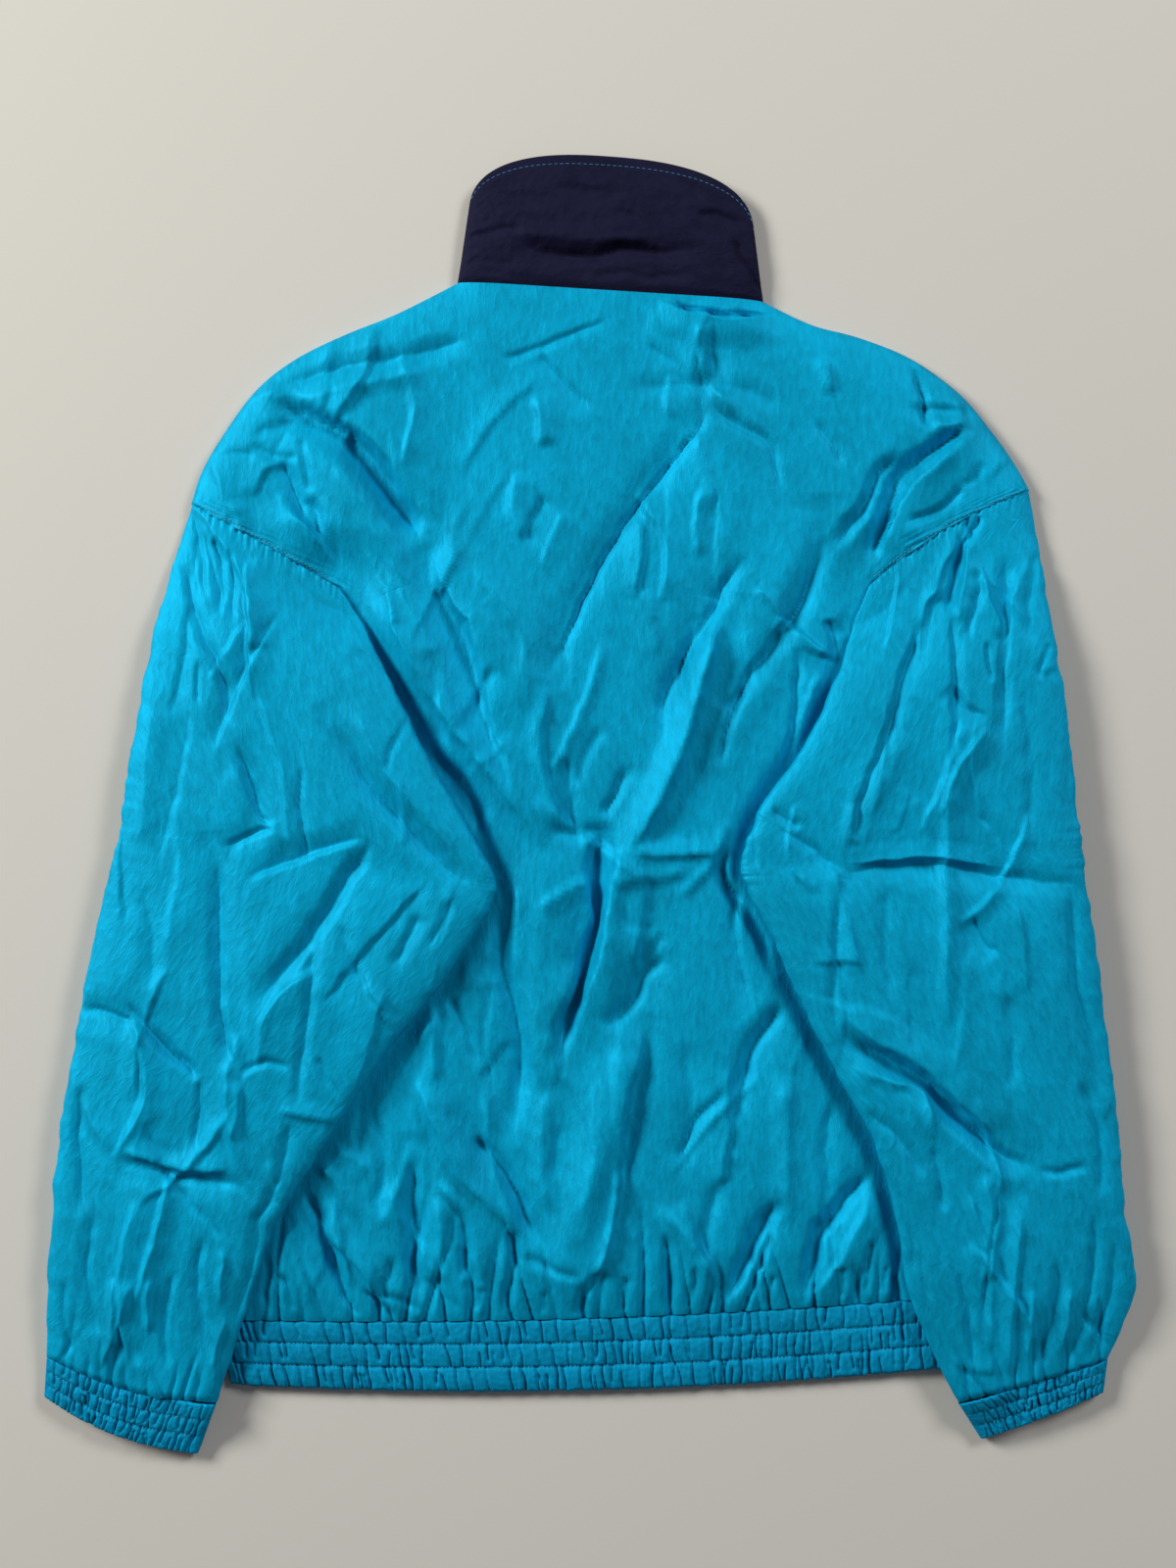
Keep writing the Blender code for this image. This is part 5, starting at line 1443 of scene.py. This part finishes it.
def makeTape(side):
    y = np.linspace(zipMake["low"], zipMake["high"], zipMake["rows"])
    across = np.linspace(0, 1, zipMake["columns"])
    x = outline["zipX"] + sides[side][1] * blend(zipParting(y)[:, None], zipMake["tape"], across[None, :])
    edgeBead = 0.35 * np.exp(-(((across - 0.06) / 0.07) ** 2))
    z = tapeUnder(y)[:, None] + 0.35 + edgeBead[None, :] + 0.08 * noise(x / 3, y[:, None] / 5, 3)
    return np.dstack([x, np.repeat(y[:, None], len(across), axis=1), z])


def zipTeeth(side):  # a coil: one loop of wire for each tooth, from the tape's edge and back
    reach, wire = zipMake["tooth"]
    points, faces = [], []
    for k in range(int((zipMake["high"] - 4 - zipMake["low"] - 8) / zipMake["pitch"])):
        y = zipMake["low"] + 6 + zipMake["pitch"] * (k + (0.5 if side == "left" else 0.0))
        under = float(tapeUnder(np.array([y]))[0])
        faces += barFaces(len(points), len(zipMake["loop"]), 4, flip=side == "right")
        for across, lift in zipMake["loop"]:
            x = outline["zipX"] + sides[side][1] * (zipParting(y) - across * reach / 1.5)
            for dy, dz in ((wire / 2, 0), (0, wire / 2), (-wire / 2, 0), (0, -wire / 2)):
                points.append((x, y + dy, under - 0.15 - lift + dz))
    return points, faces


def finishTrim(piece):
    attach(piece, "jacket")


for side in ("left", "right"):
    grid = makeTape(side)
    piece = clothPiece("tape_" + side, grid, grid[..., :2], "tape", flip=side == "right")
    finishCloth(piece, "zip_tape_" + side)
    finishTrim(makeMesh("zip_teeth_" + side, *zipTeeth(side), "teeth"))


for node in ("zip_slider", "zip_pull", "zip_box"):  # their shapes are right, so they keep them
    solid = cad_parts[node]
    solid.data.materials.clear()
    solid.data.materials.append(materials["metal"])


print("stage: stitches")

stitch = {
    "width": 0.42,
    "sides": 6,
    # each ring's place along a stitch, and its size
    "rings": ((0, 0.35), (0.2, 1.0), (0.5, 1.15), (0.8, 1.0), (1, 0.35)),
}


def stitchesOn(name, lines, thread, length, gap, lift):
    # one small rounded bar for each stitch, laid along lines of points on the cloth
    half, count = stitch["width"] / 2, stitch["sides"]
    points, faces = [], []
    for line in lines:
        s = runAlong(line)
        for start in np.arange(gap, s[-1] - length, length + gap):
            faces += barFaces(len(points), len(stitch["rings"]), count)
            for k, size in stitch["rings"]:
                run = start + k * length
                at, ahead = pointAt(line, s, run), pointAt(line, s, run + 0.5)
                across = unit(np.array([*leftOf(ahead - at), 0.0]))
                sink = -0.5 * half if k in (0, 1) else 0.0
                for c in range(count):
                    angle = 2 * np.pi * c / count
                    rise = np.sin(angle) * half * 0.7 * size + lift + sink
                    points.append(at + across * np.cos(angle) * half * size + np.array([0, 0, rise]))
    piece = makeMesh(name, points, faces, thread)
    shape = bmesh.new()
    shape.from_mesh(piece.data)
    bmesh.ops.recalc_face_normals(shape, faces=shape.faces)
    shape.to_mesh(piece.data)
    shape.free()
    finishTrim(piece)


def rowAt(grid, row):  # a line on a grid at a row, which may be a fraction
    low = int(math.floor(row))
    return blend(grid[low], grid[min(low + 1, len(grid) - 1)], row - low)


first = collarPiece["under"] + 2
collarLine = rowAt(collarOuter, 42.2)[first : first + collarPiece["upper"] - 5]
stitchesOn("collar_topstitch", [collarLine], "blueThread", 2.4, 1.2, 0.2)

rows = backPanel["rows"]
armholeRows = slice(rows["shoulder"] + 1, rows["shoulder"] + rows["armhole"] - 1)
armholeLines = [backSurface[armholeRows, column] for column in (2, 4, -3, -5)]
stitchesOn("armhole_stitches", armholeLines, "tealThread", 2.0, 0.9, 0.1)

bandLines = [rowAt(bandSurface, (waistband["rows"] - 1) * k / 3)[6:-6] for k in (1, 2)]
stitchesOn("waistband_stitches", bandLines, "tealThread", 2.0, 0.8, 0.25)
for side, grid in cuffGrids.items():
    cuffLines = [rowAt(grid, (cuffMake["rows"] - 1) * k / 3)[12:188] for k in (1, 2)]
    stitchesOn("cuff_stitches_" + side, cuffLines, "tealThread", 1.9, 0.8, 0.25)


print("stage: surface, lights and camera")

studio = {
    "frameHeight": 960.0,  # what the picture's height covers at the cloth, in mm
    "middle": (0.0, 12.6),
    "clothHeight": 10.0,
    "lens": 50.0,
    "sensor": 36.0,
    "surface": 5.0,
    "room": (0.93, 0.94, 1.0),
    "ambient": 0.14,
    "aim": (0, -0.1, 0),
    # each light's name, place, size, power and colour
    "lights": [
        ("leftWindow", (-2.8, 1.5, 1.7), (1.3, 1.0), 164, (1.0, 0.99, 0.92)),
        ("rightWindow", (2.4, 2.1, 2.3), (1.4, 1.1), 88, (1.0, 0.99, 0.97)),
    ],
}


def makeFloor():
    bpy.ops.mesh.primitive_plane_add(size=studio["surface"], location=(0, 0, -0.0002))
    floor = bpy.context.active_object
    floor.name = "surface"
    floor.data.materials.append(plainMaterial("paleSurface")[0])


def makeLights():
    for name, place, size, power, colour in studio["lights"]:
        light = bpy.data.lights.new(name, "AREA")
        light.shape = "RECTANGLE"
        light.size, light.size_y = size
        light.energy = power
        light.color = colour
        lamp = bpy.data.objects.new(name, light)
        bpy.context.scene.collection.objects.link(lamp)
        lamp.location = place
        lamp.rotation_euler = (Vector(studio["aim"]) - Vector(place)).to_track_quat("-Z", "Y").to_euler()
    world = bpy.data.worlds.new("room")
    world.use_nodes = True
    inputs = {"Color": (*studio["room"], 1.0), "Strength": studio["ambient"]}
    setInputs(world.node_tree, world.node_tree.nodes["Background"], inputs)
    bpy.context.scene.world = world


def makeCamera():
    data = bpy.data.cameras.new("camera")
    data.sensor_fit = "VERTICAL"
    data.sensor_height = studio["sensor"]
    data.lens = studio["lens"]
    camera = bpy.data.objects.new("camera", data)
    bpy.context.scene.collection.objects.link(camera)
    distance = studio["frameHeight"] * studio["lens"] / studio["sensor"]
    camera.location = (*[k * mm for k in studio["middle"]], (distance + studio["clothHeight"]) * mm)
    bpy.context.scene.camera = camera


makeFloor()
makeLights()
makeCamera()
bpy.context.scene.view_settings.view_transform = "Standard"
